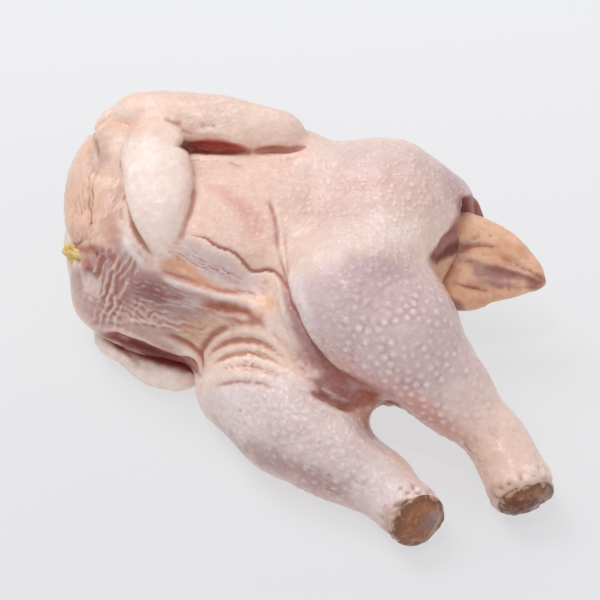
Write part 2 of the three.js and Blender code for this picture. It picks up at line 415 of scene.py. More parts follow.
class Skin:
    """A mesh of skin held as arrays, so that relief and colour are worked out point by point."""

    def __init__(self, thing: bpy.types.Object) -> None:
        """Read the mesh of an object that lies unturned at the origin."""
        self.thing = thing
        self.stroke_paths: list[tuple[Stroke, np.ndarray]] = []
        self.read()
        self.domes = np.zeros(len(self.place))
        self.pleats = np.zeros(len(self.place))

    def read(self) -> None:
        """Read places, outward directions and edges from the mesh."""
        mesh = self.thing.data
        count = len(mesh.vertices)
        flat = np.empty(count * 3)
        mesh.vertices.foreach_get("co", flat)
        self.place = flat.reshape(-1, 3) / METRE
        edges = np.empty(len(mesh.edges) * 2, np.int64)
        mesh.edges.foreach_get("vertices", edges)
        self.edges = edges.reshape(-1, 2)
        self.degree = np.bincount(edges, minlength=count)
        self.face_out()

    def face_out(self) -> None:
        """Work out which way each point of the skin faces."""
        mesh = self.thing.data
        mesh.vertices.foreach_set("co", (self.place * METRE).ravel())
        mesh.update()
        flat = np.empty(len(mesh.vertices) * 3)
        mesh.vertex_normals.foreach_get("vector", flat)
        self.out = flat.reshape(-1, 3)

    def average(self, values: np.ndarray, rounds: int = 1) -> np.ndarray:
        """Even out values between neighbours.

        Args:
            values: One row for each point.
            rounds: How often each point takes on the mean of its neighbours and itself.

        Returns:
            The evened values.
        """
        a, b = self.edges.T
        table = values.reshape(len(values), -1)
        for _ in range(rounds):
            mean = np.empty_like(table)
            for column in range(table.shape[1]):
                part = table[:, column]
                total = np.bincount(a, part[b], len(part)) + np.bincount(b, part[a], len(part))
                mean[:, column] = total / np.maximum(self.degree, 1)
            table = (table + mean) / 2
        return table.reshape(values.shape)

    def soften(self, rounds: int, share: np.ndarray | float = 1.0) -> None:
        """Relax the surface, everywhere or by a share for each point."""
        share = np.asarray(share, float).reshape(-1, 1) if np.ndim(share) else share
        self.place = self.place + (self.average(self.place, rounds) - self.place) * share
        self.face_out()

    def raise_by(self, height: np.ndarray) -> None:
        """Move each point out along its own direction."""
        self.place = self.place + self.out * height[:, None]
        self.face_out()

    def tree(self) -> BVHTree:
        """Build the search tree that finds places on this skin."""
        mesh = self.thing.data
        return BVHTree.FromPolygons(self.place.tolist(), [tuple(face.vertices) for face in mesh.polygons])

    def find(self, tree: BVHTree, place: Place) -> np.ndarray:
        """Find where a place named by a pixel, or by three lengths, lies on the skin."""
        if len(place) == 2:
            eye, direction = VIEW.sight(place)
            hit = tree.ray_cast(eye, direction)[0]
            if hit is not None:
                return np.array(hit)
            return np.array(tree.find_nearest(eye + direction * VIEW.distance)[0])
        return np.array(tree.find_nearest(Vector(place))[0])

    def trace(self, tree: BVHTree, stroke: Stroke) -> np.ndarray:
        """Lay a stroke's path on the skin.

        Args:
            tree: The search tree of this skin.
            stroke: The stroke to lay.

        Returns:
            Places along the path, about a millimetre apart.
        """
        corners = np.array([self.find(tree, place) for place in stroke.path])
        length = np.linalg.norm(np.diff(corners, axis=0), axis=1).sum()
        path = spline(corners, max(6, int(length / TRACE_STEP)))
        sway = np.stack([grain(path, TRACE_SWAY, 40 + axis) for axis in range(3)], axis=1)
        path = path + sway * stroke.wander * np.sin(np.linspace(0, math.pi, len(path)))[:, None]
        path = np.array([tree.find_nearest(Vector(spot))[0] for spot in path])
        for _ in range(4):
            path[1:-1] = (path[:-2] + 2 * path[1:-1] + path[2:]) / 4
        return path

    def beside(self, path: np.ndarray, reach: float) -> tuple[np.ndarray, ...]:
        """Measure the skin beside a path.

        Args:
            path: Places along the path.
            reach: How far to measure.

        Returns:
            The points in reach, their distances from the path, on which side they lie from -1 for
            its right to 1 for its left, and how far along it they are from 0 to 1.
        """
        low, high = path.min(0) - reach, path.max(0) + reach
        near = np.nonzero(((self.place > low) & (self.place < high)).all(1))[0]
        spots = self.place[near]
        best = np.full(len(near), np.inf)
        side = np.zeros(len(near))
        along = np.zeros(len(near))
        steps = len(path) - 1
        for i in range(steps):
            line = path[i + 1] - path[i]
            offset = spots - path[i]
            t = np.clip(offset @ line / max(line @ line, 1e-9), 0, 1)
            away = offset - t[:, None] * line
            distance = np.linalg.norm(away, axis=1)
            closer = distance < best
            best[closer] = distance[closer]
            along[closer] = ((i + t) / steps)[closer]
            turn = np.einsum("ij,ij->i", np.cross(self.out[near], line), away)
            side[closer] = np.sign(turn)[closer]
        kept = best < reach
        return near[kept], best[kept], side[kept], along[kept]

    def draw(self, strokes: tuple[Stroke, ...]) -> None:
        """Work strokes into the relief, and keep what colours them."""
        tree = self.tree()
        height = np.zeros(len(self.place))
        self.stroke_paths = []
        for stroke in strokes:
            path = self.trace(tree, stroke)
            reach = max(stroke.width * 3, stroke.fall if stroke.mark is Mark.LIP else 0)
            index, distance, side, along = self.beside(path, reach)
            taper = smoothstep(0, 0.3, along) * smoothstep(1, 0.7, along)
            bell = np.exp(-((distance / stroke.width) ** 2))
            if stroke.mark is Mark.CREASE:
                shoulder = np.exp(-(((distance - 1.9 * stroke.width) / stroke.width) ** 2))
                change = -bell + 0.12 * shoulder
            elif stroke.mark is Mark.RIDGE:
                change = bell
            else:
                lifted = np.where(side > 0, 1 - smoothstep(0, stroke.fall, distance), 0)
                groove = np.where(side > 0, 0, -0.8 * bell)
                change = lifted + groove
            height[index] += change * taper * stroke.height
            self.stroke_paths.append((stroke, path))
        self.raise_by(height)

    def mask(self, tree: BVHTree, spot: Spot | Patch | Wrinkles) -> np.ndarray:
        """Measure how far inside a soft-edged place each point lies.

        Args:
            tree: The search tree of this skin.
            spot: The place. Its half sizes are in the view's axes where a pixel names its middle,
                and it is turned there from the view's right towards its up. Else they are in the
                frame's axes.

        Returns:
            Shares from 0 outside to 1 inside.
        """
        middle = self.find(tree, spot.centre)
        if len(spot.centre) == 2:
            right, up, back = VIEW.axes()
            angle = math.radians(spot.turn)
            across = right * math.cos(angle) + up * math.sin(angle)
            axes = np.stack([across, np.cross(back, across), back])
        else:
            axes = np.eye(3)
        share = (self.place - middle) @ axes.T / np.array(spot.half)
        distance = np.linalg.norm(share, axis=1)
        near = distance < 2
        warped = distance.copy()
        size = max(min(spot.half) * 0.5, 2.5)
        uneven = grain(self.place[near], size, 7) + 0.5 * grain(self.place[near], size / 2.4, 8)
        warped[near] += spot.ragged * uneven
        return smoothstep(1.25, 0.2, warped)

    def within(self, tree: BVHTree, spots: tuple[Spot, ...]) -> np.ndarray:
        """Measure how far inside any of some places each point lies, from 0 to 1."""
        share = np.zeros(len(self.place))
        for spot in spots:
            share = np.maximum(share, self.mask(tree, spot))
        return share

    def look(self, tree: BVHTree) -> None:
        """Note the pixel of each point, and how far the viewer sees it."""
        self.pixel = VIEW.pixels(self.place)
        eye = VIEW.eye()
        facing = np.einsum("ij,ij->i", unit(eye - self.place), self.out)
        seen = smoothstep(SEEN_FROM, SEEN_FULLY, facing)
        for index in np.nonzero(seen > 0)[0]:
            start = self.place[index] + self.out[index] * SIGHT_LIFT
            if tree.ray_cast(Vector(start), Vector(eye - start))[0] is not None:
                seen[index] = 0
        self.seen = self.average(seen, 3)

    def area(self, area: Area) -> np.ndarray:
        """Measure how far each point lies in an area drawn in the view, from 0 to 1."""
        outline = np.array(area.outline, float)
        low, high = outline.min(0) - area.soft * 2, outline.max(0) + area.soft * 2
        near = (self.pixel > low).all(1) & (self.pixel < high).all(1) & (self.seen > 0)
        index = np.nonzero(near)[0]
        stray = np.stack([grain(self.place[index], 4.0, 31), grain(self.place[index], 4.0, 32)], axis=1)
        spots = self.pixel[index] + area.soft * 0.6 * stray
        distance = np.full(len(index), np.inf)
        inside = np.zeros(len(index), bool)
        for start, end in zip(outline, np.roll(outline, -1, axis=0)):
            line = end - start
            offset = spots - start
            t = np.clip(offset @ line / (line @ line), 0, 1)
            distance = np.minimum(distance, np.linalg.norm(offset - t[:, None] * line, axis=1))
            crosses = (start[1] > spots[:, 1]) != (end[1] > spots[:, 1])
            if line[1]:
                edge = start[0] + (spots[:, 1] - start[1]) / line[1] * line[0]
                inside ^= crosses & (spots[:, 0] < edge)
        distance[inside] *= -1
        share = np.zeros(len(self.place))
        seen = self.seen[index] ** (0.15 if area.deep else 1.0)
        share[index] = smoothstep(area.soft, -area.soft, distance) * seen
        return share

    def wrinkle(self, fields: tuple[Wrinkles, ...]) -> None:
        """Work fields of fine folds into the relief."""
        tree = self.tree()
        height = np.zeros(len(self.place))
        right, up, back = VIEW.axes()
        for folds in fields:
            share = self.mask(tree, folds)
            index = np.nonzero(share > 0.01)[0]
            spots = self.place[index]
            angle = math.radians(folds.run)
            course = right * math.cos(angle) + up * math.sin(angle)
            across = np.cross(back, course)
            drift = folds.sway * grain(spots, folds.spacing * 5, folds.seed)
            drift += 0.4 * grain(spots, folds.spacing, 9)
            crest = (0.5 + 0.5 * np.sin(2 * math.pi * (spots @ across / folds.spacing + drift))) ** 2
            drawn = np.stack([spots @ course / folds.length, spots @ across, spots @ back], axis=1)
            broken = smoothstep(-0.35, 0.45, grain(drawn, folds.spacing * 1.4, folds.seed + 3))
            rough = grain(drawn, folds.spacing * 0.6, folds.seed + 5)
            height[index] += share[index] * folds.height * ((crest - 0.4) * broken + folds.rough * rough)
            # The crests are noted for a painted highlight.
            self.pleats[index] += share[index] * crest * broken * min(folds.height, 1.0)
        self.raise_by(height)

    def pits(self, gap: float, strength: np.ndarray, height: float, seed: int) -> None:
        """Raise a small dome round every feather pit.

        Args:
            gap: The least distance between pits.
            strength: How far the pits show at each point, from 0 to 1.
            height: How high a dome is where they show fully.
            seed: Picks where they fall.
        """
        order = np.random.default_rng(seed).permutation(np.nonzero(strength > 0.03)[0])
        cells: dict[tuple[int, int, int], list[int]] = {}
        keys = np.floor(self.place / gap).astype(int)
        chosen: list[int] = []
        steps = [(i, j, k) for i in (-1, 0, 1) for j in (-1, 0, 1) for k in (-1, 0, 1)]
        for index in order:
            x, y, z = keys[index]
            spot = self.place[index]
            clear = True
            for i, j, k in steps:
                for other in cells.get((x + i, y + j, z + k), ()):
                    away = self.place[other] - spot
                    if away @ away < gap * gap:
                        clear = False
                        break
                if not clear:
                    break
            if clear:
                cells.setdefault((x, y, z), []).append(index)
                chosen.append(index)
        if not chosen:
            return
        centres = KDTree(len(chosen))
        for number, index in enumerate(chosen):
            centres.insert(Vector(self.place[index]), number)
        centres.balance()
        size = np.random.default_rng(seed + 1).uniform(*DOME_SIZES, len(chosen))
        for index in np.nonzero(strength > 0.02)[0]:
            _, number, distance = centres.find(Vector(self.place[index]))
            dome = math.exp(-((distance / (gap * DOME_SHARE)) ** 2))
            self.domes[index] = dome * size[number] * strength[index]
        self.raise_by(self.domes * height)


def bare_object(name: str, shape: bmesh.types.BMesh) -> bpy.types.Object:
    """Make an object of a bmesh and link it."""
    mesh = bpy.data.meshes.new(name)
    shape.to_mesh(mesh)
    shape.free()
    thing = bpy.data.objects.new(name, mesh)
    bpy.context.scene.collection.objects.link(thing)
    return thing


def settle_modifiers(thing: bpy.types.Object) -> None:
    """Put an object's modifiers into its mesh."""
    graph = bpy.context.evaluated_depsgraph_get()
    mesh = bpy.data.meshes.new_from_object(thing.evaluated_get(graph))
    old = thing.data
    thing.modifiers.clear()
    thing.data = mesh
    bpy.data.meshes.remove(old)
    mesh.name = thing.name


def remesh(thing: bpy.types.Object, voxel: float, subdivisions: int = 0) -> None:
    """Give an object an even mesh of the given fineness, in millimetres."""
    if subdivisions:
        finer = thing.modifiers.new("finer", "SUBSURF")
        finer.levels = finer.render_levels = subdivisions
    even = thing.modifiers.new("even", "REMESH")
    even.mode = "VOXEL"
    even.voxel_size = voxel * METRE
    even.use_smooth_shade = True
    settle_modifiers(thing)


def thin_out(thing: bpy.types.Object, most: int) -> None:
    """Bring a mesh under a number of triangles, sparing where it curves."""
    count = sum(len(face.vertices) - 2 for face in thing.data.polygons)
    if count <= most:
        return
    fewer = thing.modifiers.new("fewer", "DECIMATE")
    fewer.ratio = most / count
    settle_modifiers(thing)


@dataclass(frozen=True)
class SkinFinish:
    """Raw chicken skin: thin, wet and faintly see-through over fat and muscle.

    The painted tint gives its colour. Light goes in and comes out a few millimetres away, which
    softens its shadows, and a film of moisture gives small bright glints.
    """

    name: str = "raw_chicken_skin"
    roughness: float = 0.4
    film: float = 0.4
    film_roughness: float = 0.16
    depth_mm: float = 1.8
    see_in: float = 0.16
    grain_mm: float = 0.8
    grain_height: float = 0.12
    mottle_mm: float = 3.2
    crease_mm: float = 7.0
    crease_height: float = 0.22
    vein_share: float = 0.45
    goose_mm: float = 2.9
    goose_height: float = 0.46
    dome_edge: float = 0.62
    dome_top: float = 0.08
    gap_darkness: float = 0.7
    sway_mm: float = 7.0
    sway_reach: float = 0.004
    ior: float = 1.4
    film_ior: float = 1.34
    scatter: tuple[float, float, float] = (1.0, 0.42, 0.28)

    def make(self) -> bpy.types.Material:
        """Make the material."""
        material = bpy.data.materials.new(self.name)
        material.use_nodes = True
        tree = material.node_tree
        tree.nodes.clear()
        place = add_node(tree, "ShaderNodeTexCoord").outputs["Object"]
        tint = add_node(tree, "ShaderNodeAttribute", {"attribute_name": "tint"}).outputs["Color"]
        goose = add_node(tree, "ShaderNodeAttribute", {"attribute_name": "goose"}).outputs["Fac"]
        mottle = add_node(tree, "ShaderNodeTexNoise", Vector=place, Scale=1000 / self.mottle_mm, Detail=4.0,
                          Roughness=0.6).outputs["Fac"]
        fine = add_node(tree, "ShaderNodeTexNoise", Vector=place, Scale=1000 / self.grain_mm, Detail=3.0,
                        Roughness=0.55).outputs["Fac"]
        sway = add_node(tree, "ShaderNodeTexNoise", Vector=place, Scale=1000 / self.sway_mm,
                        Detail=2.0).outputs["Color"]
        bent = add_node(tree, "ShaderNodeVectorMath", {"operation": "MULTIPLY_ADD"}, _0=sway,
                        _1=(self.sway_reach,) * 3, _2=place).outputs[0]
        veins = add_node(tree, "ShaderNodeTexNoise", {"noise_type": "RIDGED_MULTIFRACTAL"}, Vector=bent,
                         Scale=1000 / self.crease_mm, Detail=4.0, Roughness=0.45).outputs["Fac"]
        cell = add_node(tree, "ShaderNodeTexVoronoi", {"feature": "F1"}, Vector=bent,
                        Scale=1000 / self.goose_mm, Randomness=0.85).outputs["Distance"]
        swell = add_node(tree, "ShaderNodeMapRange", {"interpolation_type": "SMOOTHSTEP"}, Value=cell,
                         From_Min=self.dome_edge, From_Max=self.dome_top).outputs["Result"]
        bumps = add_node(tree, "ShaderNodeMath", {"operation": "MULTIPLY"}, _0=swell, _1=goose).outputs[0]
        shade = add_node(tree, "ShaderNodeMapRange", Value=mottle, From_Min=0.32, From_Max=0.68,
                         To_Min=0.0, To_Max=1.0).outputs["Result"]
        warm = add_node(tree, "ShaderNodeMix", {"data_type": "RGBA", "blend_type": "MULTIPLY"},
                        _0=shade, _6=tint, _7=Shade.FLUSH.value).outputs[2]
        vein_share = add_node(tree, "ShaderNodeMapRange", Value=veins, From_Min=0.7, From_Max=1.5,
                              To_Min=0.0, To_Max=self.vein_share).outputs["Result"]
        veined = add_node(tree, "ShaderNodeMix", {"data_type": "RGBA", "blend_type": "MULTIPLY"},
                          _0=vein_share, _6=warm, _7=Shade.VEIN.value).outputs[2]
        # Darker between the goose bumps: partly the skin's own colour, partly painted shade in the gaps.
        gap = add_node(tree, "ShaderNodeMath", {"operation": "SUBTRACT"}, _0=goose, _1=bumps).outputs[0]
        gap_share = add_node(tree, "ShaderNodeMath", {"operation": "MULTIPLY"}, _0=gap,
                             _1=self.gap_darkness).outputs[0]
        colour = add_node(tree, "ShaderNodeMix", {"data_type": "RGBA", "blend_type": "MULTIPLY"},
                          _0=gap_share, _6=veined, _7=Shade.PIT_GAP.value).outputs[2]
        gloss = add_node(tree, "ShaderNodeMapRange", Value=mottle, From_Min=0.3, From_Max=0.7,
                         To_Min=self.roughness - 0.1, To_Max=self.roughness + 0.12).outputs["Result"]
        height = add_node(tree, "ShaderNodeMath", {"operation": "MULTIPLY"}, _0=bumps,
                          _1=self.goose_height).outputs[0]
        for part, tall in (
            (veins, -self.crease_height),
            (fine, self.grain_height),
            (mottle, self.grain_height * 2),
        ):
            height = add_node(tree, "ShaderNodeMath", {"operation": "MULTIPLY_ADD"}, _0=part, _1=tall,
                              _2=height).outputs[0]
        bump = add_node(tree, "ShaderNodeBump", Strength=1.0, Distance=METRE, Height=height)
        shader = add_node(tree, "ShaderNodeBsdfPrincipled", Base_Color=colour, Roughness=gloss,
                          Normal=bump.outputs["Normal"], IOR=self.ior, Subsurface_Weight=self.see_in,
                          Subsurface_Radius=self.scatter, Subsurface_Scale=self.depth_mm * METRE,
                          Coat_Weight=self.film, Coat_Roughness=self.film_roughness,
                          Coat_IOR=self.film_ior)
        add_node(tree, "ShaderNodeOutputMaterial", Surface=shader.outputs["BSDF"])
        return material


@dataclass(frozen=True)
class FlapFinish(SkinFinish):
    """Skin of the tail and of loose flaps: thicker and greasier, so smoother and more see-through."""

    name: str = "greasy_flap_skin"
    roughness: float = 0.36
    film: float = 0.35
    see_in: float = 0.28
    depth_mm: float = 2.8


@dataclass(frozen=True)
class CutFinish(SkinFinish):
    """The cut joint: wet bone ends, cartilage and clotted red, as glossy as the skin."""

    name: str = "cut_joint"
    roughness: float = 0.4
    film: float = 0.4
    see_in: float = 0.12
    depth_mm: float = 1.2
    grain_mm: float = 0.9
    mottle_mm: float = 1.6


@dataclass(frozen=True)
class FatFinish(SkinFinish):
    """Yellow fat at the neck: waxy, dense and bright, with light glowing well inside it."""

    name: str = "yellow_fat"
    roughness: float = 0.34
    film: float = 0.25
    see_in: float = 0.35
    depth_mm: float = 2.5
    grain_mm: float = 1.4


def show(thing: bpy.types.Object, material: bpy.types.Material) -> None:
    """Give a piece its material and tie it to the solid that it stands for."""
    thing.data.materials.clear()
    thing.data.materials.append(material)
    thing.data.shade_smooth()
    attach(thing, BODY)
    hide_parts(SOLID)
    triangles = sum(len(face.vertices) - 2 for face in thing.data.polygons)
    LOG.info("%s: %d triangles", thing.name, triangles)


class Finish(Enum):
    """The finishes that the bird's pieces take."""

    SKIN = SkinFinish()
    FLAP = FlapFinish()
    CUT = CutFinish()
    FAT = FatFinish()


@dataclass(frozen=True)
class Tones:
    """How a skin's colour follows its relief: hollows take a painted shade, crests a painted highlight."""

    base: Colour
    # The hollow colour is painted shade, the crest colour a painted highlight.
    hollow_shade: Colour = Colour.SIENNA
    crest: Colour = Colour.MILK
    hollow_shade_share: float = 0.6
    crest_highlight_share: float = 0.35
    drift: tuple[tuple[Colour, float, float], ...] = (
        (Colour.ROSE, 17.0, 0.2),
        (Colour.PALE_LILAC, 23.0, 0.35),
        (Colour.PEACH, 29.0, 0.25),
        (Colour.MILK, 11.0, 0.3),
    )


def lay(tint: np.ndarray, colour: Colour, share: np.ndarray) -> None:
    """Lay a colour over a tint, as far as each point's share says."""
    tint += (linear(colour) - tint) * np.clip(share, 0, 1)[:, None]


def keep_tint(skin: Skin, tint: np.ndarray) -> None:
    """Write a tint to the mesh, where the finishes read it."""
    layer = skin.thing.data.attributes.new("tint", "FLOAT_COLOR", "POINT")
    layer.data.foreach_set("color", np.hstack([np.clip(tint, 0, 1), np.ones((len(tint), 1))]).ravel())


def stain_shade_and_highlight(skin: Skin, tint: np.ndarray) -> None:
    """Lay the colours of a skin's strokes over a tint, uneven along them: dark ones in creases are partly
    painted shade, pale ones on ridges partly painted highlight.
    """
    for stroke, path in skin.stroke_paths:
        if stroke.stain_shade_and_highlight:
            index, distance, _, along = skin.beside(path, stroke.width * 2.5)
            share = np.zeros(len(tint))
            uneven = 0.75 + 0.6 * grain(skin.place[index], 4.5, 77)
            share[index] = np.exp(-((distance / stroke.width) ** 2)) * uneven * stroke.stain_shade_and_highlight * 0.75
            share[index] *= smoothstep(0, 0.3, along) * smoothstep(1, 0.7, along)
            lay(tint, stroke.colour, share)


def paint(skin: Skin, tones: Tones, patches: tuple[Patch | Area, ...] = (), dots: float = 0.0,
          goose: np.ndarray | float = 0.15) -> None:
    """Colour a skin point by point, and note where it has goose bumps.

    Args:
        skin: The skin to colour.
        tones: Its base colours.
        patches: Fields of colour on it, laid one over the other.
        dots: How strongly its feather pits show in colour.
        goose: How far fine goose bumps show, from 0 to 1.
    """
    place = skin.place
    tint = np.tile(linear(tones.base), (len(place), 1))
    for number, (colour, size, strength) in enumerate(tones.drift):
        lay(tint, colour, smoothstep(-0.05, 0.55, grain(place, size, 60 + number)) * strength)
    tree = skin.tree()
    if any(isinstance(patch, Area) for patch in patches):
        skin.look(tree)
    for patch in patches:
        if isinstance(patch, Patch):
            lay(tint, patch.colour, skin.mask(tree, patch) * patch.strength)
        elif not patch.deep:
            lay(tint, patch.colour, skin.area(patch) * patch.strength)
    # Painted highlight on the crests of pleats and of the tail's rays.
    lay(tint, Colour.SHELL, skin.pleats * PLEAT_HIGHLIGHT)
    # Painted shade in the hollows of the relief, and painted highlight on its crests.
    for rounds, scale in RELIEF_SCALES:
        height = np.einsum("ij,ij->i", place - skin.average(place, rounds), skin.out) / scale
        lay(tint, tones.hollow_shade, smoothstep(0.25, 1.6, -height) * tones.hollow_shade_share)
        lay(tint, tones.crest, smoothstep(0.3, 1.6, height) * tones.crest_highlight_share)
    stain_shade_and_highlight(skin, tint)
    for patch in patches:
        if isinstance(patch, Area) and patch.deep:
            lay(tint, patch.colour, skin.area(patch) * patch.strength)
    # Darkened rings and paled domes at the feather pits: partly the skin's colour, partly painted shade and
    # highlight.
    if dots:
        ring = np.clip(skin.average(skin.domes, 8) * 2.2, 0, 1)
        lay(tint, Colour.MAUVE, ring * (1 - np.clip(skin.domes * 1.6, 0, 1)) * RING_DARKNESS * dots)
        lay(tint, Colour.PEARL, np.clip(skin.domes, 0, 1) * DOME_PALENESS * dots)
    blotch = grain(place, 2.2, 71) + 0.6 * grain(place, 0.9, 72)
    tint *= (1 + 0.035 * blotch)[:, None]
    keep_tint(skin, tint)
    layer = skin.thing.data.attributes.new("goose", "FLOAT", "POINT")
    layer.data.foreach_set("value", np.broadcast_to(np.asarray(goose, float), len(tint)).copy())


@dataclass(frozen=True)
class Fold:
    """A long closed fold of flesh: a path with half widths and half thicknesses along it."""

    name: str
    path: tuple[Place, ...]
    wide: tuple[float, ...]
    thick: tuple[float, ...]
    face: Place = (0.0, -1.0, 1.0)
    blunt: float = 6.0
    samples: int = 120

    def course(self) -> tuple[np.ndarray, ...]:
        """Give the path's samples, the directions sideways and outward, and both half sizes."""
        middle = spline(np.array(self.path) + LAYOUT_SHIFT, self.samples)
        along = unit(np.gradient(middle, axis=0))
        face = np.array(self.face, float)
        outward = unit(face - (along @ face)[:, None] * along)
        sideways = np.cross(outward, along)
        steps = np.linspace(0, 1, self.samples)
        sizes = []
        for values in (self.wide, self.thick):
            rows = np.stack([np.arange(len(values), dtype=float), np.array(values, float)], axis=1)
            curve = spline(rows, 60)
            sizes.append(np.interp(steps * (len(values) - 1), curve[:, 0], curve[:, 1]))
        return middle, sideways, outward, sizes[0], sizes[1]

    def make(self, fineness: float) -> bpy.types.Object:
        """Model the fold as a sphere drawn out along its path, with an even mesh."""
        shape = bmesh.new()
        bmesh.ops.create_icosphere(shape, subdivisions=5, radius=1.0)
        middle, sideways, outward, wide, thick = self.course()
        places = np.array([vertex.co for vertex in shape.verts])
        step = np.clip((1 - places[:, 1]) / 2, 0, 1) * (self.samples - 1)
        low = np.minimum(step.astype(int), self.samples - 2)
        share = (step - low)[:, None]

        def at(values: np.ndarray) -> np.ndarray:
            """Take values along the path for each point of the sphere."""
            table = values.reshape(self.samples, -1)
            return table[low] * (1 - share) + table[low + 1] * share

        ring = np.maximum(np.hypot(places[:, 0], places[:, 2]), 1e-6)
        fullness = np.sqrt(np.maximum(1 - np.abs(places[:, 1]) ** self.blunt, 0)) / ring
        across = (places[:, 0] * fullness)[:, None] * at(wide) * at(sideways)
        out = (places[:, 2] * fullness)[:, None] * at(thick) * at(outward)
        for vertex, place in zip(shape.verts, (at(middle) + across + out) * METRE):
            vertex.co = place
        bmesh.ops.recalc_face_normals(shape, faces=shape.faces)
        thing = bare_object(self.name, shape)
        remesh(thing, fineness)
        return thing

    def pull_in(self, skin: Skin, keep: float) -> None:
        """Draw the body's skin towards this fold's path, out of the way of the fold's own piece.

        Args:
            skin: The skin of the whole body.
            keep: The share of the section that the skin keeps.
        """
        middle, sideways, outward, wide, thick = self.course()
        reach = max(wide.max(), thick.max()) * 1.3
        low, high = middle.min(0) - reach, middle.max(0) + reach
        near = np.nonzero(((skin.place > low) & (skin.place < high)).all(1))[0]
        offset = skin.place[near][:, None, :] - middle[None, :, :]
        nearest = np.argmin((offset**2).sum(2), axis=1)
        away = skin.place[near] - middle[nearest]
        x = np.einsum("ij,ij->i", away, sideways[nearest]) / wide[nearest]
        z = np.einsum("ij,ij->i", away, outward[nearest]) / thick[nearest]
        t = nearest / (self.samples - 1) * 2 - 1
        full = np.sqrt(np.maximum(1 - np.abs(t) ** self.blunt, 0.05))
        depth = smoothstep(1.35, 1.05, np.hypot(x, z) / full)
        goal = middle[nearest] + away * keep
        skin.place[near] += (goal - skin.place[near]) * depth[:, None]
        skin.face_out()


# The knuckles of a cut joint: where they lie on it, their size, and their height in millimetres.
KNUCKLES = ((-0.42, 0.05, 0.4, 2.2), (0.4, 0.12, 0.36, 1.9), (0.02, -0.5, 0.26, 1.3), (0.05, 0.55, 0.22, 0.9))


@dataclass(frozen=True)
class CutHock:
    """The end of a leg where the foot was cut off at the joint: bone ends in a ring of skin."""

    name: str
    centre: Place
    normal: Place
    radius: float
    squash: float
    turn: float
    seed: int
    red: float  # how far the dark red between the bones shows
    bulge: float = 3.4
    fineness: float = 0.45

    def axes(self) -> np.ndarray:
        """Give the cut's own directions: across, up and out."""
        out = unit(np.array(self.normal, float))
        up = unit(np.array((0, 0, 1.0)) - out[2] * out)
        across = np.cross(up, out)
        angle = math.radians(self.turn)
        return np.stack([across * math.cos(angle) + up * math.sin(angle),
                         up * math.cos(angle) - across * math.sin(angle), out])

    def model(self) -> Skin:
        """Model the bone ends: two knuckles with a groove between them, and torn bits round them."""
        shape = bmesh.new()
        bmesh.ops.create_icosphere(shape, subdivisions=6, radius=1.0)
        thing = bare_object(self.name, shape)
        skin = Skin(thing)
        ball = skin.place / np.linalg.norm(skin.place, axis=1, keepdims=True)
        flat = ball * np.array((self.radius, self.radius * self.squash, self.bulge))
        lift = np.zeros(len(flat))
        for x, y, size, height in KNUCKLES:
            gap = np.hypot(ball[:, 0] - x, ball[:, 1] - y) / size
            lift += height * np.exp(-(gap**2))
        rough = 0.7 * grain(flat, 3.4, self.seed) + 0.35 * grain(flat, 1.4, self.seed + 1)
        flat[:, 2] += np.where(ball[:, 2] > 0, lift + rough, 0) * smoothstep(0, 0.3, ball[:, 2])
        skin.place = np.array(self.centre) + flat @ self.axes()
        skin.face_out()
        remesh(thing, self.fineness)
        skin.read()
        return skin

    def colour(self, skin: Skin) -> None:
        """Colour the bone ends from the dark red between them to the brown and tan of their rim."""
        local = (skin.place - np.array(self.centre)) @ self.axes().T / self.radius
        local[:, 1] /= self.squash
        tint = np.tile(linear(Colour.HONEY), (len(local), 1))
        noise = grain(skin.place, 2.4, self.seed + 3) + 0.5 * grain(skin.place, 1.0, self.seed + 4)
        ring = np.hypot(local[:, 0], local[:, 1])
        bone = np.hypot(local[:, 0] - 0.42, local[:, 1] - 0.1) + 0.3 * noise
        clot = np.hypot(local[:, 0] + 0.28, local[:, 1]) * 0.8 + 0.3 * noise
        for colour, share in (
            (Colour.TAUPE, smoothstep(0.7, 0.2, bone)),
            (Colour.LIVER, smoothstep(0.7, 0.3, clot) * self.red),
            (Colour.AMBER, smoothstep(0.35, 0.9, noise) * 0.3),
            (Colour.BARK, smoothstep(0.72, 0.9, ring + 0.12 * noise) * 0.75),
            (Colour.TAN, smoothstep(0.93, 1.05, ring + 0.16 * noise) * 0.6),
        ):
            lay(tint, colour, share)
        keep_tint(skin, tint)

    def make(self, material: bpy.types.Material) -> None:
        """Model the cut joint, colour it and dress it."""
        skin = self.model()
        self.colour(skin)
        show(skin.thing, material)


@dataclass(frozen=True)
class Lump:
    """Smooth unevenness of a skin: how high, over what distance, and which of many."""

    height: float
    size: float
    seed: int


def lumpy(skin: Skin, lumps: tuple[Lump, ...]) -> np.ndarray:
    """Add up the unevenness of a skin at each of its points."""
    return sum(lump.height * grain(skin.place, lump.size, lump.seed) for lump in lumps)


@dataclass(frozen=True)
class Flap:
    """A piece of loose skin, flesh or fat that lies over the body along a fold."""

    fold: Fold
    finish: Finish
    tones: Tones
    fineness: float
    evening: int
    lumps: tuple[Lump, ...]
    strokes: tuple[Stroke, ...] = ()
    patches: tuple[Patch | Area, ...] = ()
    dots: float = 0.0
    sinks_body: bool = True

    def relief(self, skin: Skin) -> np.ndarray:
        """Give the height of the flap's own unevenness."""
        return lumpy(skin, self.lumps)

    def work(self, skin: Skin) -> None:
        """Even the flap out and work its relief."""
        skin.soften(self.evening)
        skin.raise_by(self.relief(skin))
        skin.draw(self.strokes)

    def make(self, materials: dict[Finish, bpy.types.Material]) -> None:
        """Model the flap, work its skin, colour it and dress it."""
        skin = Skin(self.fold.make(self.fineness))
        self.work(skin)
        paint(skin, self.tones, self.patches, self.dots)
        show(skin.thing, materials[self.finish])


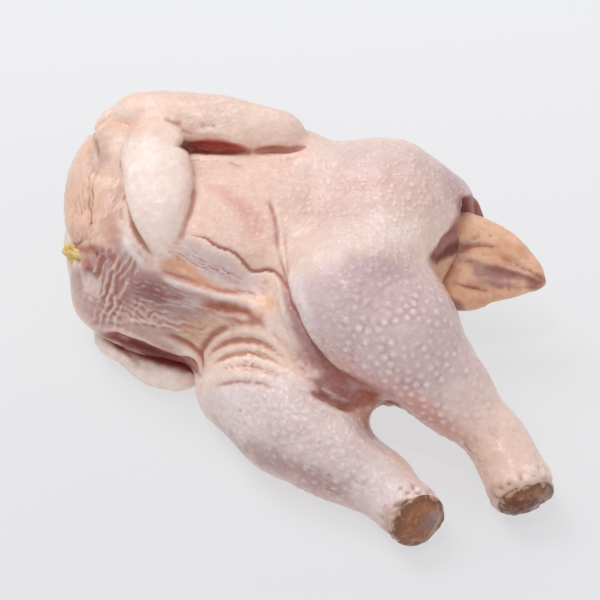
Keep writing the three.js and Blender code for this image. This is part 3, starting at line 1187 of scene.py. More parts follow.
@dataclass(frozen=True)
class TailFan(Flap):
    """The tail: a fan of skin over quill roots, orange at its root and red at its tip."""

    ray_turn: float = 16.0
    ray_height: float = 0.4
    ray_highlight: float = 0.5

    def relief(self, skin: Skin) -> np.ndarray:
        """Raise the rays over the quills, and note their crests for a painted highlight."""
        middle, sideways, _, wide, _ = self.fold.course()
        away = skin.place[:, None, :] - middle[None, :, :]
        nearest = np.argmin((away**2).sum(2), axis=1)
        offset = np.einsum("ij,ij->i", skin.place - middle[nearest], sideways[nearest]) / wide[nearest]
        offset = skin.average(offset, 8)
        along = nearest / (self.fold.samples - 1)
        rays = np.sin(offset * self.ray_turn + 1.1 * grain(skin.place, 7, 15))
        inner = smoothstep(0.1, 0.4, along) * smoothstep(0.98, 0.8, along)
        inner *= smoothstep(0.95, 0.7, np.abs(offset))
        skin.pleats = self.ray_highlight * np.maximum(rays, 0) * inner
        return self.ray_height * rays * inner + super().relief(skin)


@dataclass(frozen=True)
class NeckSkin(Flap):
    """The loose neck skin, which hangs over the crop and ends in a cut edge."""

    pleats: tuple[Wrinkles, ...] = ()
    pit_gap: float = 3.4
    pit_height: float = 0.35
    pit_share: float = 0.6

    def work(self, skin: Skin) -> None:
        """Add pleats and scattered feather pits to the relief of a flap."""
        super().work(skin)
        skin.wrinkle(self.pleats)
        scattered = smoothstep(-0.4, 0.4, grain(skin.place, 12, 54)) * self.pit_share
        skin.pits(self.pit_gap, scattered, self.pit_height, 55)


@dataclass(frozen=True)
class Body:
    """The trunk, the legs and the left wing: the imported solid, smoothed and worked in relief."""

    voxel: float = 0.9
    most_triangles: int = 196000
    evening: int = 14
    kept_under_flaps: float = 0.35
    fork_depth: float = 5.5
    neck_depth: float = 4.0
    hock_roughness: float = 1.3
    pit_gap: float = 3.7
    pit_height: float = 0.7
    lumps: tuple[Lump, ...] = (Lump(0.9, 16, 1), Lump(0.5, 8, 2))

    def model(self, solid: bpy.types.Object) -> Skin:
        """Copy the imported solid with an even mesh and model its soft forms.

        Args:
            solid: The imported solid's node.

        Returns:
            The skin of the copy.
        """
        shape = bmesh.new()
        shape.from_mesh(solid.data)
        bmesh.ops.remove_doubles(shape, verts=shape.verts, dist=1e-6)
        body = bare_object("body", shape)
        remesh(body, self.voxel, subdivisions=1)
        skin = Skin(body)
        skin.soften(self.evening)
        for flap in FLAPS:
            if flap.sinks_body:
                flap.fold.pull_in(skin, self.kept_under_flaps)
        skin.soften(3)
        tree = skin.tree()
        skin.soften(50, skin.mask(tree, SHOULDER))
        skin.raise_by(-self.fork_depth * skin.mask(tree, FORK))
        skin.soften(8, skin.mask(tree, FORK_EDGE))
        for hock in CUT_HOCKS:
            near = np.linalg.norm(skin.place - np.array(hock.centre), axis=1) / hock.radius
            rough = self.hock_roughness * grain(skin.place, 2.6, hock.seed)
            skin.raise_by(rough * smoothstep(1.5, 0.9, near))
        skin.raise_by(lumpy(skin, self.lumps))
        skin.draw(STROKES)
        skin.wrinkle(WRINKLES)
        return skin

    def bumps(self, skin: Skin, tree: BVHTree) -> np.ndarray:
        """Raise the feather pits.

        Args:
            skin: The skin of the body.
            tree: Its search tree.

        Returns:
            How far fine goose bumps show at each point, from 0 to 1.
        """
        goose = 0.2 + 0.8 * skin.within(tree, BARE_SKIN)
        pitted = skin.within(tree, PITTED_SKIN)
        pitted *= 1 - skin.mask(tree, INNER_KNEE)
        pitted *= 1 - 0.5 * skin.mask(tree, RIGHT_KNEE)
        patchy = smoothstep(-0.8, 0.1, grain(skin.place, 9, 80) + 0.3)
        skin.pits(self.pit_gap, (0.12 + 0.9 * pitted) * patchy, self.pit_height, 90)
        return goose * (1 - 0.6 * pitted)

    def make(self, solid: bpy.types.Object, material: bpy.types.Material) -> None:
        """Model the body, work its skin, colour it and dress it."""
        skin = self.model(solid)
        tree = skin.tree()
        goose = self.bumps(skin, tree)
        skin.raise_by(-self.neck_depth * skin.mask(tree, UNDER_THE_NECK))
        skin.place[:, 2] = np.maximum(skin.place[:, 2], 0)
        skin.face_out()
        paint(skin, Tones(Colour.CREAM), ZONES + PATCHES + AREAS, 0.9, goose)
        thin_out(skin.thing, self.most_triangles)
        show(skin.thing, material)


CREASE = Mark.CREASE
RIDGE = Mark.RIDGE
LIP = Mark.LIP

# Creases, ridges and skin edges of the body, from the wing over the breast to the legs.
STROKES = (
    # Dark red in the slit under the forearm: partly raw meat, partly painted shade.
    Stroke("under_the_forearm", CREASE, ((174, 148), (188, 148), (204, 148), (222, 149), (240, 151),
        (256, 152)), 2.2, 3.4, Colour.RED_MEAT_IN_SHADE, 0.7),
    Stroke("under_the_forearm_end", CREASE, ((250, 152), (270, 150), (286, 150), (301, 147), (312, 144)),
        1.7, 1.8, Colour.SIENNA, 0.7),
    Stroke("beside_the_hand", CREASE, ((119, 132), (120, 150), (121, 175), (126, 204), (133, 228),
        (145, 247), (158, 262)), 1.6, 1.8, Colour.SIENNA, 0.8),
    Stroke("membrane", RIDGE, ((120, 231), (127, 244), (137, 257), (147, 270)), 1.6, 0.9, Colour.PEARL,
        0.8),
    Stroke("flank_flap", LIP, ((286, 294), (277, 276), (267, 272), (251, 274), (244, 266), (232, 253),
        (218, 249), (203, 238), (180, 236)), 1.5, 1.5, Colour.ROSE, 0.55, 10.0),
    Stroke("orange_streak", RIDGE, ((168, 262), (190, 277), (216, 293)), 1.4, 0.35, Colour.AMBER, 0.55),
    Stroke("thigh_front", CREASE, ((262, 190), (270, 206), (276, 225), (277, 252)), 2.0, 0.9, Colour.ROSE,
        0.3),
    Stroke("thigh_front_thin", RIDGE, ((272, 190), (279, 220), (283, 255), (286, 296)), 1.1, 0.7,
        Colour.PEARL, 0.4),
    Stroke("keel", RIDGE, ((146, 271), (170, 281), (191, 288), (215, 295), (232, 298), (249, 300),
        (262, 312)), 2.0, 1.5, Colour.PEARL, 0.6),
    Stroke("above_the_keel", CREASE, ((150, 266), (172, 275), (196, 283), (220, 291), (246, 293)), 1.6,
        0.7, Colour.ROSE, 0.3),
    Stroke("breast_hollow", CREASE, ((134, 288), (152, 293), (170, 297), (194, 301)), 2.6, 1.0,
        Colour.PLUM, 0.45, wander=1.0),
    Stroke("second_hollow", CREASE, ((206, 304), (222, 308), (240, 310), (258, 317)), 1.8, 1.5,
        Colour.SIENNA, 0.75),
    Stroke("breast_fold_a", RIDGE, ((132, 276), (124, 290), (115, 306)), 1.1, 0.8, Colour.PEACH, 0.3),
    Stroke("breast_fold_b", RIDGE, ((117, 257), (114, 280), (113, 306)), 1.0, 0.7, Colour.PEACH, 0.3),
    Stroke("breast_groove", CREASE, ((103, 248), (99, 264), (96, 282)), 1.3, 1.0, Colour.MAUVE, 0.5),
    Stroke("right_breast_line", RIDGE, ((118, 319), (139, 321), (163, 321)), 1.2, 0.6, Colour.CREAM, 0.4),
    Stroke("over_the_right_wing", CREASE, ((97, 333), (113, 336), (129, 341), (156, 351), (180, 359),
        (194, 364), (200, 377)), 2.2, 3.0, Colour.MEAT, 0.8),
    Stroke("wing_flap", LIP, ((96, 336), (110, 350), (130, 363)), 1.2, 0.9, Colour.BLUSH, 0.3, 6.0),
    Stroke("wing_flap_low", LIP, ((124, 345), (139, 367), (172, 391), (199, 393)), 1.2, 1.0, Colour.BLUSH,
        0.3, 6.0),
    Stroke("web_fold", CREASE, ((160, 328), (182, 342), (200, 357), (202, 376)), 2.0, 1.6, Colour.SIENNA,
        0.5),
    Stroke("web_fold_up", CREASE, ((196, 362), (204, 346), (216, 333), (232, 326)), 1.8, 1.3,
        Colour.SIENNA, 0.4),
    Stroke("web_arc", RIDGE, ((202, 358), (212, 343), (228, 334), (250, 331), (272, 340), (296, 364)),
        2.4, 1.2, Colour.CREAM, 0.5),
    Stroke("web_arc_inner", RIDGE, ((206, 366), (222, 352), (246, 347), (270, 353), (296, 376)), 2.4, 1.1,
        Colour.CREAM, 0.5),
    Stroke("web_arc_low", RIDGE, ((204, 378), (224, 363), (248, 359), (276, 367), (306, 388)), 2.0, 1.1,
        Colour.MILK, 0.5),
    Stroke("web_groove", CREASE, ((204, 362), (218, 346), (240, 340), (264, 345), (290, 366)), 1.8, 0.8,
        Colour.AMBER, 0.5),
    Stroke("web_groove_low", CREASE, ((206, 372), (224, 358), (248, 353), (272, 360), (300, 382)), 1.8,
        0.7, Colour.AMBER, 0.4),
    Stroke("calf_crease", CREASE, ((208, 388), (222, 384), (240, 381), (262, 384), (282, 392)), 1.6, 0.8,
        Colour.TAUPE, 0.35),
    Stroke("knee_crease", CREASE, ((278, 256), (284, 284), (290, 309), (301, 333), (315, 354), (330, 371),
        (350, 380), (380, 391)), 3.0, 3.0, Colour.BERRY, 0.85),
    Stroke("knee_crease_deep", CREASE, ((284, 290), (292, 315), (305, 340), (320, 360), (336, 375)), 1.2,
        1.0, Colour.LIVER, 0.6),
    Stroke("knee_crease_low", CREASE, ((305, 388), (320, 396), (338, 405), (358, 411)), 1.8, 2.0,
        Colour.LIVER, 0.7),
    # Painted highlight along the bright edge of the knee, over a low ridge.
    Stroke("knee_edge_highlight", RIDGE, ((298, 280), (303, 300), (312, 322)), 1.4, 0.6, Colour.PEARL, 0.5),
    Stroke("hand_right", CREASE, ((182, 156), (193, 176), (193, 200), (187, 223), (178, 243), (166, 257)),
        2.2, 0.6, Colour.ROSE, 0.3),
    Stroke("hand_rim", RIDGE, ((127, 150), (128, 176), (133, 204), (140, 226), (151, 246)), 2.0, 0.6,
        Colour.MILK, 0.4),
    Stroke("forearm_dent", CREASE, ((160, 119), (172, 122), (186, 124)), 2.2, 0.5, Colour.ROSE, 0.35),
    Stroke("forearm_dent_low", CREASE, ((196, 127), (208, 126), (220, 128)), 1.8, 0.5, Colour.ROSE, 0.3),
    Stroke("forearm_swell", RIDGE, ((190, 138), (208, 131), (224, 134), (244, 143)), 2.4, 1.2,
        Colour.BLUSH, 0.3),
    Stroke("neck_side", CREASE, ((93, 128), (96, 146), (102, 166)), 1.8, 0.8, Colour.ROSE, 0.4),
    Stroke("flank_line_a", RIDGE, ((266, 168), (266, 195), (272, 222), (280, 250)), 2.0, 0.4, Colour.MILK,
        0.3),
    Stroke("thigh_behind", CREASE, ((470, 212), (460, 218), (448, 235), (438, 250), (431, 264)), 1.6, 1.2,
        Colour.SIENNA, 0.45),
)

# Fine folds of the body: the pleated breast first, then the grain of each stretch of skin.
WRINKLES = (
    Wrinkles("breast_pleats", (106, 284), (28, 26, 28), 0, 62, 3.6, 0.9, 3, 0.3, 1.2, 4.0),
    Wrinkles("breast_pleats_low", (140, 318), (40, 10, 24), -10, -14, 3.2, 0.5, 33, 0.3, 1.2, 4.0),
    Wrinkles("breast_pleats_right", (172, 300), (30, 10, 22), -12, -14, 3.0, 0.25, 4, 0.3, 1.2, 4.0),
    Wrinkles("flank_grain", (215, 205), (26, 24, 24), 0, -48, 3.4, 0.14, 5),
    Wrinkles("rump_grain", (460, 192), (14, 10, 18), 0, 30, 1.8, 0.35, 6),
    Wrinkles("neck_grain", (84, 212), (14, 24, 28), 0, 80, 2.2, 0.4, 7),
    Wrinkles("web_grain", (245, 350), (24, 12, 20), -12, -16, 2.0, 0.35, 8),
    Wrinkles("under_flap_grain", (215, 272), (26, 8, 18), -24, -24, 2.0, 0.3, 9),
    Wrinkles("calf_grain", (250, 415), (22, 18, 22), 0, -30, 2.6, 0.22, 10),
    Wrinkles("knee_grain", (330, 350), (16, 14, 18), 0, -45, 2.4, 0.22, 11),
    Wrinkles("shank_grain", (480, 455), (14, 12, 18), 0, -50, 2.0, 0.35, 12),
    Wrinkles("right_shank_grain", (345, 485), (20, 10, 18), -30, -30, 2.0, 0.3, 13),
    Wrinkles("back_grain", (10.0, 95.0, 60.0), (70, 22, 30), 0, 8, 4.2, 0.2, 14),
    Wrinkles("shoulder_grain", (-70.0, 90.0, 50.0), (30, 20, 34), 0, 70, 4.0, 0.3, 15),
    Wrinkles("far_leg_grain", (0.0, -10.0, 6.0), (60, 40, 12), 0, -30, 2.6, 0.3, 16),
)

# The broad colours of the body, laid first.
ZONES = (
    Patch("wing_zone", Colour.SAND, (205, 120), (62, 16, 60), 0.6),
    Patch("shoulder_zone", Colour.SAND, (100, 180), (26, 44, 60), 0.7),
    Patch("flank_zone", Colour.SAND, (220, 200), (34, 34, 40), 0.6),
    Patch("breast_zone", Colour.MAUVE, (150, 292), (46, 22, 40), 0.5, -10),
    Patch("right_leg_zone", Colour.SHELL, (300, 440), (70, 34, 60), 0.8, -35),
    # Partly lilac skin, partly painted shade on the right leg's lower side.
    Patch("right_leg_lilac", Colour.HEATHER, (290, 450), (56, 16, 40), 0.5, -32),
    Patch("thigh_zone", Colour.SHELL, (400, 180), (56, 26, 50), 0.7, -10),
    Patch("drumstick_zone", Colour.HEATHER, (405, 330), (44, 34, 50), 0.6, -45),
    Patch("knee_zone", Colour.LILAC, (325, 300), (20, 26, 40), 0.5, -45),
    Patch("rump_zone", Colour.HEATHER, (460, 180), (14, 14, 30), 0.4),
    Patch("left_shank_zone", Colour.SAND, (500, 450), (20, 16, 40), 0.6, -50),
    Patch("right_shank_zone", Colour.SHELL, (400, 495), (20, 16, 40), 0.6, -40),
)

# Smaller fields of colour on the body, such as blushes, fat under the skin and raw meat.
PATCHES = (
    Patch("forearm_light", Colour.MILK, (235, 122), (34, 9, 26), 0.55),
    Patch("under_forearm_red", Colour.MEAT, (217, 148), (14, 3.2, 12), 0.9),
    # Partly raw meat, partly painted shade deep in the slit.
    Patch("under_forearm_deep", Colour.RED_MEAT_IN_SHADE, (200, 147), (6, 2.2, 10), 0.85),
    Patch("shoulder_blush", Colour.BLUSH, (135, 140), (14, 14, 26), 0.4),
    Patch("neck_peach", Colour.PEACH, (86, 205), (16, 30, 34), 0.7),
    Patch("neck_brown", Colour.TAUPE, (99, 150), (5, 12, 14), 0.5),
    Patch("neck_low", Colour.ROSE, (83, 240), (12, 7, 22), 0.55),
    # Partly the cut's red-brown, partly painted shadow under the neck skin's cut edge.
    Patch("neck_cut_and_shadow", Colour.SIENNA, (86, 249), (9, 2.4, 14), 0.8),
    Patch("membrane_grey", Colour.PEARL, (132, 251), (13, 4, 14), 0.85, -56),
    Patch("membrane_dark", Colour.MAUVE, (117, 243), (11, 3, 14), 0.6, -62),
    Patch("flank_blush", Colour.BLUSH, (222, 205), (24, 22, 24), 0.4),
    Patch("flank_streak", Colour.ROSE, (239, 203), (16, 3.4, 12), 0.7, -42),
    Patch("flank_cream", Colour.CREAM, (231, 234), (7, 5, 10), 0.7),
    # Painted shade: a grey spot on the flank.
    Patch("flank_grey_shade", Colour.PALE_LILAC, (198, 170), (5.5, 5, 10), 0.6),
    Patch("under_flap", Colour.PALE_LILAC, (214, 268), (20, 6, 18), 0.5, -24),
    Patch("under_flap_orange", Colour.APRICOT, (192, 277), (14, 3.5, 14), 0.55, -34),
    # The breast below the keel is darker: partly its own mauve and plum, partly painted shade.
    Patch("breast_mauve", Colour.MAUVE, (166, 293), (27, 8, 22), 0.85, -12),
    Patch("breast_plum", Colour.PLUM, (158, 294), (11, 4.5, 14), 0.5, -8),
    Patch("breast_red", Colour.SIENNA, (143, 285), (4, 2.8, 8), 0.8),
    Patch("breast_pleated", Colour.ROSE, (106, 286), (18, 19, 28), 0.6),
    Patch("breast_pleated_mauve", Colour.MAUVE, (112, 292), (14, 14, 24), 0.4),
    Patch("second_hollow_brown", Colour.SIENNA, (232, 309), (13, 3.8, 12), 0.7, -10),
    Patch("second_hollow_tan", Colour.PEACH, (267, 302), (6, 4.5, 8), 0.6),
    Patch("right_breast_cream", Colour.CREAM, (146, 320), (24, 5.5, 18), 0.6, -6),
    Patch("wing_meat", Colour.MEAT, (168, 354), (13, 4.2, 14), 0.95, -22),
    # Partly raw meat, partly painted shade deep in the slit.
    Patch("wing_meat_deep", Colour.RED_MEAT_IN_SHADE, (148, 348), (6, 2.4, 10), 0.85, -20),
    # Paler as painted light on the right wing, which lies in shade.
    Patch("right_wing_painted_light", Colour.PEARL, (145, 373), (27, 9, 22), 0.6, -20),
    Patch("web_orange", Colour.AMBER, (208, 351), (12, 8, 16), 0.6, -25),
    Patch("web_light", Colour.PEACH, (250, 344), (17, 7, 14), 0.5, -12),
    Patch("web_red", Colour.SIENNA, (227, 357), (3.4, 2.4, 6), 0.8),
    Patch("knee_band", Colour.SIENNA, (307, 358), (7, 3.4, 10), 0.6, -40),
    Patch("belly_plum", Colour.PLUM, (352, 389), (11, 5.5, 12), 0.75, -20),
    Patch("belly_red", Colour.SIENNA, (345, 398), (10, 4, 12), 0.6, -20),
    # Painted highlight on the top of the right calf.
    Patch("calf_highlight", Colour.PEARL, (240, 408), (18, 15, 22), 0.5),
    Patch("calf_lilac", Colour.LILAC, (268, 424), (20, 10, 20), 0.5, -35),
    Patch("calf_brown", Colour.TAUPE, (275, 451), (7, 5, 12), 0.8),
    # Painted shade along the lower edge of the right calf.
    Patch("calf_low_shade", Colour.MAUVE, (310, 472), (20, 5, 14), 0.5, -24),
    Patch("right_shank", Colour.PEARL, (378, 488), (22, 12, 20), 0.55, -35),
    Patch("thigh_milk", Colour.MILK, (380, 229), (22, 11, 20), 0.7),
    Patch("thigh_rose", Colour.ROSE, (354, 186), (11, 5, 12), 0.5),
    Patch("thigh_top", Colour.PALE_LILAC, (380, 160), (34, 8, 20), 0.45),
    Patch("thigh_lilac", Colour.LILAC, (382, 266), (17, 7, 14), 0.55),
    Patch("rump_grey", Colour.PALE_LILAC, (466, 188), (8, 7, 16), 0.6),
    # Painted highlight on the knee's edge.
    Patch("knee_pearl_highlight", Colour.PEARL, (300, 292), (4, 9, 14), 0.8),
    Patch("knee_lilac", Colour.LILAC, (322, 312), (13, 15, 18), 0.45),
    Patch("drumstick_lilac", Colour.PALE_LILAC, (395, 340), (30, 18, 24), 0.55, -35),
    Patch("drumstick_low", Colour.ROSE, (436, 420), (26, 5.5, 14), 0.6, -34),
    Patch("drumstick_mauve", Colour.MAUVE, (384, 392), (20, 5, 12), 0.35, -34),
    Patch("left_shank", Colour.PEACH, (486, 450), (14, 10, 18), 0.5, -50),
    Patch("vent_red", Colour.SIENNA, (466, 231), (10, 7, 18), 0.8, 30),
    Patch("vent_meat", Colour.MEAT, (456, 248), (11, 2.6, 14), 0.7, 28),
    Patch("far_side", Colour.PALE_LILAC, (30.0, 80.0, 20.0), (70, 40, 26), 0.4),
    Patch("far_back", Colour.ROSE, (-20.0, 99.0, 45.0), (60, 12, 20), 0.3),
)

# Fields of colour on the body whose outlines show in the view.
AREAS = (
    Area("flank", Colour.FLANK, ((185, 155), (300, 155), (262, 190), (275, 225), (285, 290), (267, 271),
        (251, 274), (244, 266), (232, 252), (218, 249), (203, 238), (185, 236), (193, 200)), 0.75),
    Area("under_the_flap", Colour.PALE_LILAC, ((180, 238), (203, 240), (218, 251), (232, 254), (244, 268),
        (262, 276), (264, 294), (240, 292), (215, 284), (195, 268), (178, 250)), 0.65, 5),
    Area("orange_band", Colour.AMBER, ((160, 258), (176, 256), (195, 270), (215, 284), (240, 293),
        (252, 302), (215, 294), (190, 285), (165, 272)), 0.6, 5),
    Area("breast", Colour.MAUVE, ((100, 246), (120, 250), (140, 268), (160, 274), (190, 288), (212, 298),
        (205, 318), (190, 338), (172, 352), (150, 347), (125, 339), (98, 331), (76, 306), (68, 278),
        (80, 258)), 0.55, 6),
    # Darker below the keel: partly plum skin, partly painted shade.
    Area("breast_core", Colour.PLUM, ((132, 282), (150, 280), (178, 292), (184, 305), (160, 308),
        (138, 302)), 0.45, 6),
    Area("breast_lilac", Colour.LILAC, ((165, 288), (195, 292), (204, 302), (190, 310), (170, 304)), 0.45,
        5),
    Area("second_hollow", Colour.SIENNA, ((203, 300), (225, 302), (262, 315), (264, 326), (235, 323),
        (208, 312)), 0.85, 4),
    Area("tan_spot", Colour.PEACH, ((248, 296), (270, 293), (280, 306), (262, 311)), 0.6, 4),
    Area("lower_breast", Colour.TAN, ((176, 324), (205, 318), (250, 326), (290, 345), (302, 374),
        (262, 347), (225, 337), (200, 354), (182, 340)), 0.7, 5),
    Area("wing_slit", Colour.RAW_MEAT, ((98, 332), (130, 338), (160, 349), (192, 361), (201, 377),
        (188, 366), (160, 362), (135, 352), (110, 341)), 0.95, 3, True),
    # Partly raw meat, partly painted shade deep in the slit.
    Area("wing_slit_deep", Colour.RED_MEAT_IN_SHADE, ((120, 338), (150, 346), (176, 357), (160, 358), (136, 349)),
        0.8, 3, True),
    Area("web", Colour.CREAM, ((204, 358), (214, 338), (246, 326), (275, 334), (300, 370), (290, 384),
        (240, 368), (206, 384)), 0.75, 5),
    Area("knee_band", Colour.BERRY, ((281, 276), (291, 300), (303, 330), (318, 352), (334, 372),
        (328, 382), (311, 364), (297, 342), (287, 314)), 0.6, 4, True),
    Area("slit_red", Colour.MEAT, ((186, 146), (198, 141), (210, 139), (224, 141), (240, 146), (252, 150),
        (250, 154), (220, 154), (196, 153)), 0.9, 2.5, True),
    # Partly raw meat, partly painted shade deep in the slit.
    Area("slit_dark", Colour.RED_MEAT_IN_SHADE, ((174, 146), (190, 146), (206, 148), (222, 150), (244, 150),
        (250, 153), (222, 154), (192, 153)), 0.75, 2, True),
    Area("hand", Colour.MILK, ((122, 140), (150, 134), (178, 150), (193, 176), (193, 200), (186, 228),
        (176, 245), (160, 262), (144, 243), (132, 214), (124, 183)), 0.85, 6),
    Area("hand_warm", Colour.BLUSH, ((184, 160), (194, 176), (195, 205), (182, 238), (180, 210)), 0.35,
        5),
    Area("forearm", Colour.CREAM, ((130, 118), (180, 104), (240, 108), (290, 124), (308, 142), (250, 142),
        (210, 130), (170, 140)), 0.55, 6),
    # Painted shadow under the cut edge of the neck skin.
    Area("neck_cut_and_shadow", Colour.SIENNA, ((68, 246), (104, 245), (104, 251), (70, 252)), 0.6, 2.5, True),
    Area("left_hock_rim", Colour.HONEY, ((490, 484), (516, 480), (558, 476), (560, 488), (541, 506),
        (516, 515), (496, 510), (488, 496)), 0.4, 4, True),
    Area("right_hock_rim", Colour.HONEY, ((382, 508), (402, 501), (428, 503), (446, 507), (449, 521),
        (434, 535), (416, 543), (396, 545), (382, 531)), 0.45, 4, True),
    Area("flank_pink", Colour.ROSE, ((205, 182), (222, 184), (248, 204), (264, 230), (254, 238),
        (240, 217), (220, 198)), 0.45, 6),
    Area("thigh_top", Colour.PALE_LILAC, ((320, 146), (360, 138), (405, 140), (445, 154), (478, 188),
        (440, 178), (400, 160), (340, 160)), 0.5, 6),
    Area("neck_front", Colour.SAND, ((66, 250), (70, 212), (92, 192), (116, 186), (114, 215), (104, 247)),
        0.85, 5),
    Area("neck_brown_low", Colour.SALMON, ((98, 206), (112, 196), (121, 236), (108, 247), (99, 232)),
        0.75, 6),
    Area("belly", Colour.BERRY, ((312, 378), (335, 371), (352, 380), (380, 391), (374, 404), (355, 411),
        (338, 407), (320, 397)), 0.9, 4),
    Area("right_leg", Colour.PEARL, ((202, 395), (225, 380), (290, 375), (330, 400), (370, 430),
        (400, 470), (440, 505), (385, 521), (345, 493), (289, 478), (245, 450), (216, 421)), 0.75, 8),
    # Painted shade on the right leg's lower side.
    Area("right_leg_low_shade", Colour.MAUVE, ((216, 421), (237, 440), (262, 446), (300, 462), (345, 480),
        (345, 494), (289, 479), (240, 451)), 0.6, 10),
    Area("drumstick", Colour.LILAC, ((300, 290), (330, 262), (385, 255), (430, 270), (452, 300),
        (470, 340), (485, 375), (470, 420), (430, 405), (395, 395), (350, 379), (315, 350), (298, 320)),
        0.75, 18),
    Area("drumstick_low", Colour.ROSE, ((320, 345), (360, 370), (400, 383), (440, 412), (480, 440),
        (470, 449), (430, 426), (390, 397), (350, 381)), 0.55, 6),
    Area("thigh", Colour.BISQUE, ((315, 150), (350, 142), (400, 140), (440, 155), (475, 185), (478, 210),
        (455, 225), (420, 250), (385, 252), (330, 255), (300, 275), (288, 240), (290, 190)), 0.5, 8),
    Area("thigh_cream", Colour.MILK, ((335, 225), (370, 212), (410, 210), (430, 225), (405, 243),
        (360, 246), (330, 250)), 0.6, 7),
    Area("thigh_lilac", Colour.DUSK, ((342, 264), (365, 251), (400, 254), (414, 272), (385, 284),
        (352, 282)), 0.25, 12),
    # Painted highlight on the knee's bright edge.
    Area("knee_highlight", Colour.PEARL, ((289, 285), (299, 270), (307, 300), (320, 327), (311, 331),
        (298, 311)), 0.8, 4),
    Area("rump", Colour.DUSK, ((440, 152), (470, 172), (482, 196), (480, 212), (462, 214), (442, 192)),
        0.35, 6),
    Area("tail_side", Colour.TAN, ((430, 262), (448, 252), (464, 250), (464, 300), (452, 300),
        (440, 285)), 0.9, 3, True),
    Area("vent", Colour.BERRY, ((458, 196), (476, 194), (486, 212), (487, 226), (478, 238), (456, 253),
        (434, 264), (428, 259), (444, 236), (456, 218)), 0.9, 3, True),
    # The vent's slit: partly raw meat, partly painted shade.
    Area("vent_slit", Colour.RED_MEAT_IN_SHADE, ((432, 258), (452, 243), (470, 233), (480, 232), (476, 241),
        (455, 254), (436, 264)), 0.85, 3, True),
    Area("left_shank", Colour.SHELL, ((470, 380), (497, 400), (520, 430), (552, 470), (556, 483),
        (495, 485), (475, 455), (455, 430), (445, 400)), 0.5, 8),
)

# The ends of both legs.
CUT_HOCKS = (
    CutHock("left_hock", (94.5, -78.6, 13.4), (0.3, -0.92, -0.22), 12.6, 0.93, 8.0, 21, 0.9),
    CutHock("right_hock", (48.0, -92.6, 15.4), (0.48, -0.84, 0.25), 12.8, 0.95, -10.0, 31, 0.35),
)


# Places on the body that are softened, pressed in or left without pits.
SHOULDER = Spot((150, 142), (30, 26, 30), ragged=0.1)
FORK = Spot((380, 416), (24, 11, 26), -38, 0.0)
FORK_EDGE = Spot((380, 416), (24, 14, 26), -38, 0.0)
UNDER_THE_NECK = Spot((91, 220), (17, 26, 22), -10, 0.15)
INNER_KNEE = Spot((346, 388), (24, 12, 30), -20, 0.2)
RIGHT_KNEE = Spot((290, 420), (50, 34, 50), -35, 0.2)

# Bare skin shows fine goose bumps, and the drumsticks show large ones round their feather pits.
BARE_SKIN = (
    Spot((395, 320), (50, 60, 60)),
    Spot((310, 440), (50, 45, 50)),
    Spot((360, 190), (60, 30, 60)),
    Spot((0.0, 95.0, 55.0), (110, 30, 60)),
    Spot((20.0, 60.0, 10.0), (90, 60, 16)),
)
PITTED_SKIN = (
    Spot((405, 345), (42, 34, 50), -45),
    Spot((300, 445), (50, 28, 44), -45),
    Spot((440, 400), (36, 30, 44), -45),
)

TAIL = TailFan(
    fold=Fold(
        "tail",
        path=((50, -16, 45), (70, -21, 46), (87, -23.5, 45), (101, -27, 42.5), (110.5, -30.5, 40.5)),
        wide=(15, 22, 21, 13.5, 4.5),
        thick=(14.5, 13.5, 11, 8, 4),
        face=(0.1, -0.8, 0.6),
        blunt=8,
    ),
    finish=Finish.FLAP,
    tones=Tones(Colour.PEACH, Colour.SIENNA, Colour.PEACH, 0.75, 0.5,
                ((Colour.PEACH, 9.0, 0.5), (Colour.ROSE, 7.0, 0.4), (Colour.AMBER, 5.0, 0.4))),
    fineness=0.6,
    evening=4,
    lumps=(Lump(0.5, 5, 16), Lump(0.2, 2, 17)),
    strokes=(
        Stroke("tail_groove", CREASE, ((446, 262), (470, 262), (500, 272), (530, 276)), 1.6, 0.9,
               Colour.MAUVE, 0.5),
        Stroke("tail_groove_high", CREASE, ((450, 252), (478, 246), (506, 248)), 1.3, 0.8,
               Colour.SIENNA, 0.4),
        Stroke("tail_groove_low", CREASE, ((448, 280), (470, 288), (500, 294)), 1.3, 0.8,
               Colour.SIENNA, 0.4),
    ),
    patches=(
        Patch("tail_top", Colour.PEACH, (500, 232), (16, 6, 14), 0.8),
        Patch("tail_orange", Colour.AMBER, (510, 252), (12, 7, 14), 0.6),
        Patch("tail_mauve", Colour.MAUVE, (500, 277), (14, 6, 14), 0.75),
        Patch("tail_low", Colour.AMBER, (480, 303), (16, 5, 14), 0.5),
        Patch("tail_tip", Colour.SIENNA, (536, 282), (5, 5, 10), 0.8),
        # Painted shadow at the lower edge of the tail's root.
        Area("tail_root_shadow", Colour.LIVER, ((448, 298), (461, 301), (468, 313), (452, 316)), 0.75, 3, True),
        Patch("tail_inner", Colour.SIENNA, (447, 268), (6, 10, 12), 0.6),
        Area("tail_upper", Colour.PEACH, ((478, 222), (498, 221), (518, 230), (530, 246), (505, 240),
                                          (484, 234)), 0.8, 4),
        Area("tail_band", Colour.MAUVE, ((470, 262), (495, 262), (520, 272), (532, 282), (500, 286),
                                         (476, 276)), 0.7, 5),
        Area("tail_end", Colour.BERRY, ((524, 272), (548, 278), (548, 288), (530, 290)), 0.75, 4),
        Area("tail_shade", Colour.LIVER, ((430, 262), (446, 250), (478, 236), (482, 242), (456, 262),
                                          (444, 282), (456, 314), (446, 312)), 0.6, 5),
    ),
)

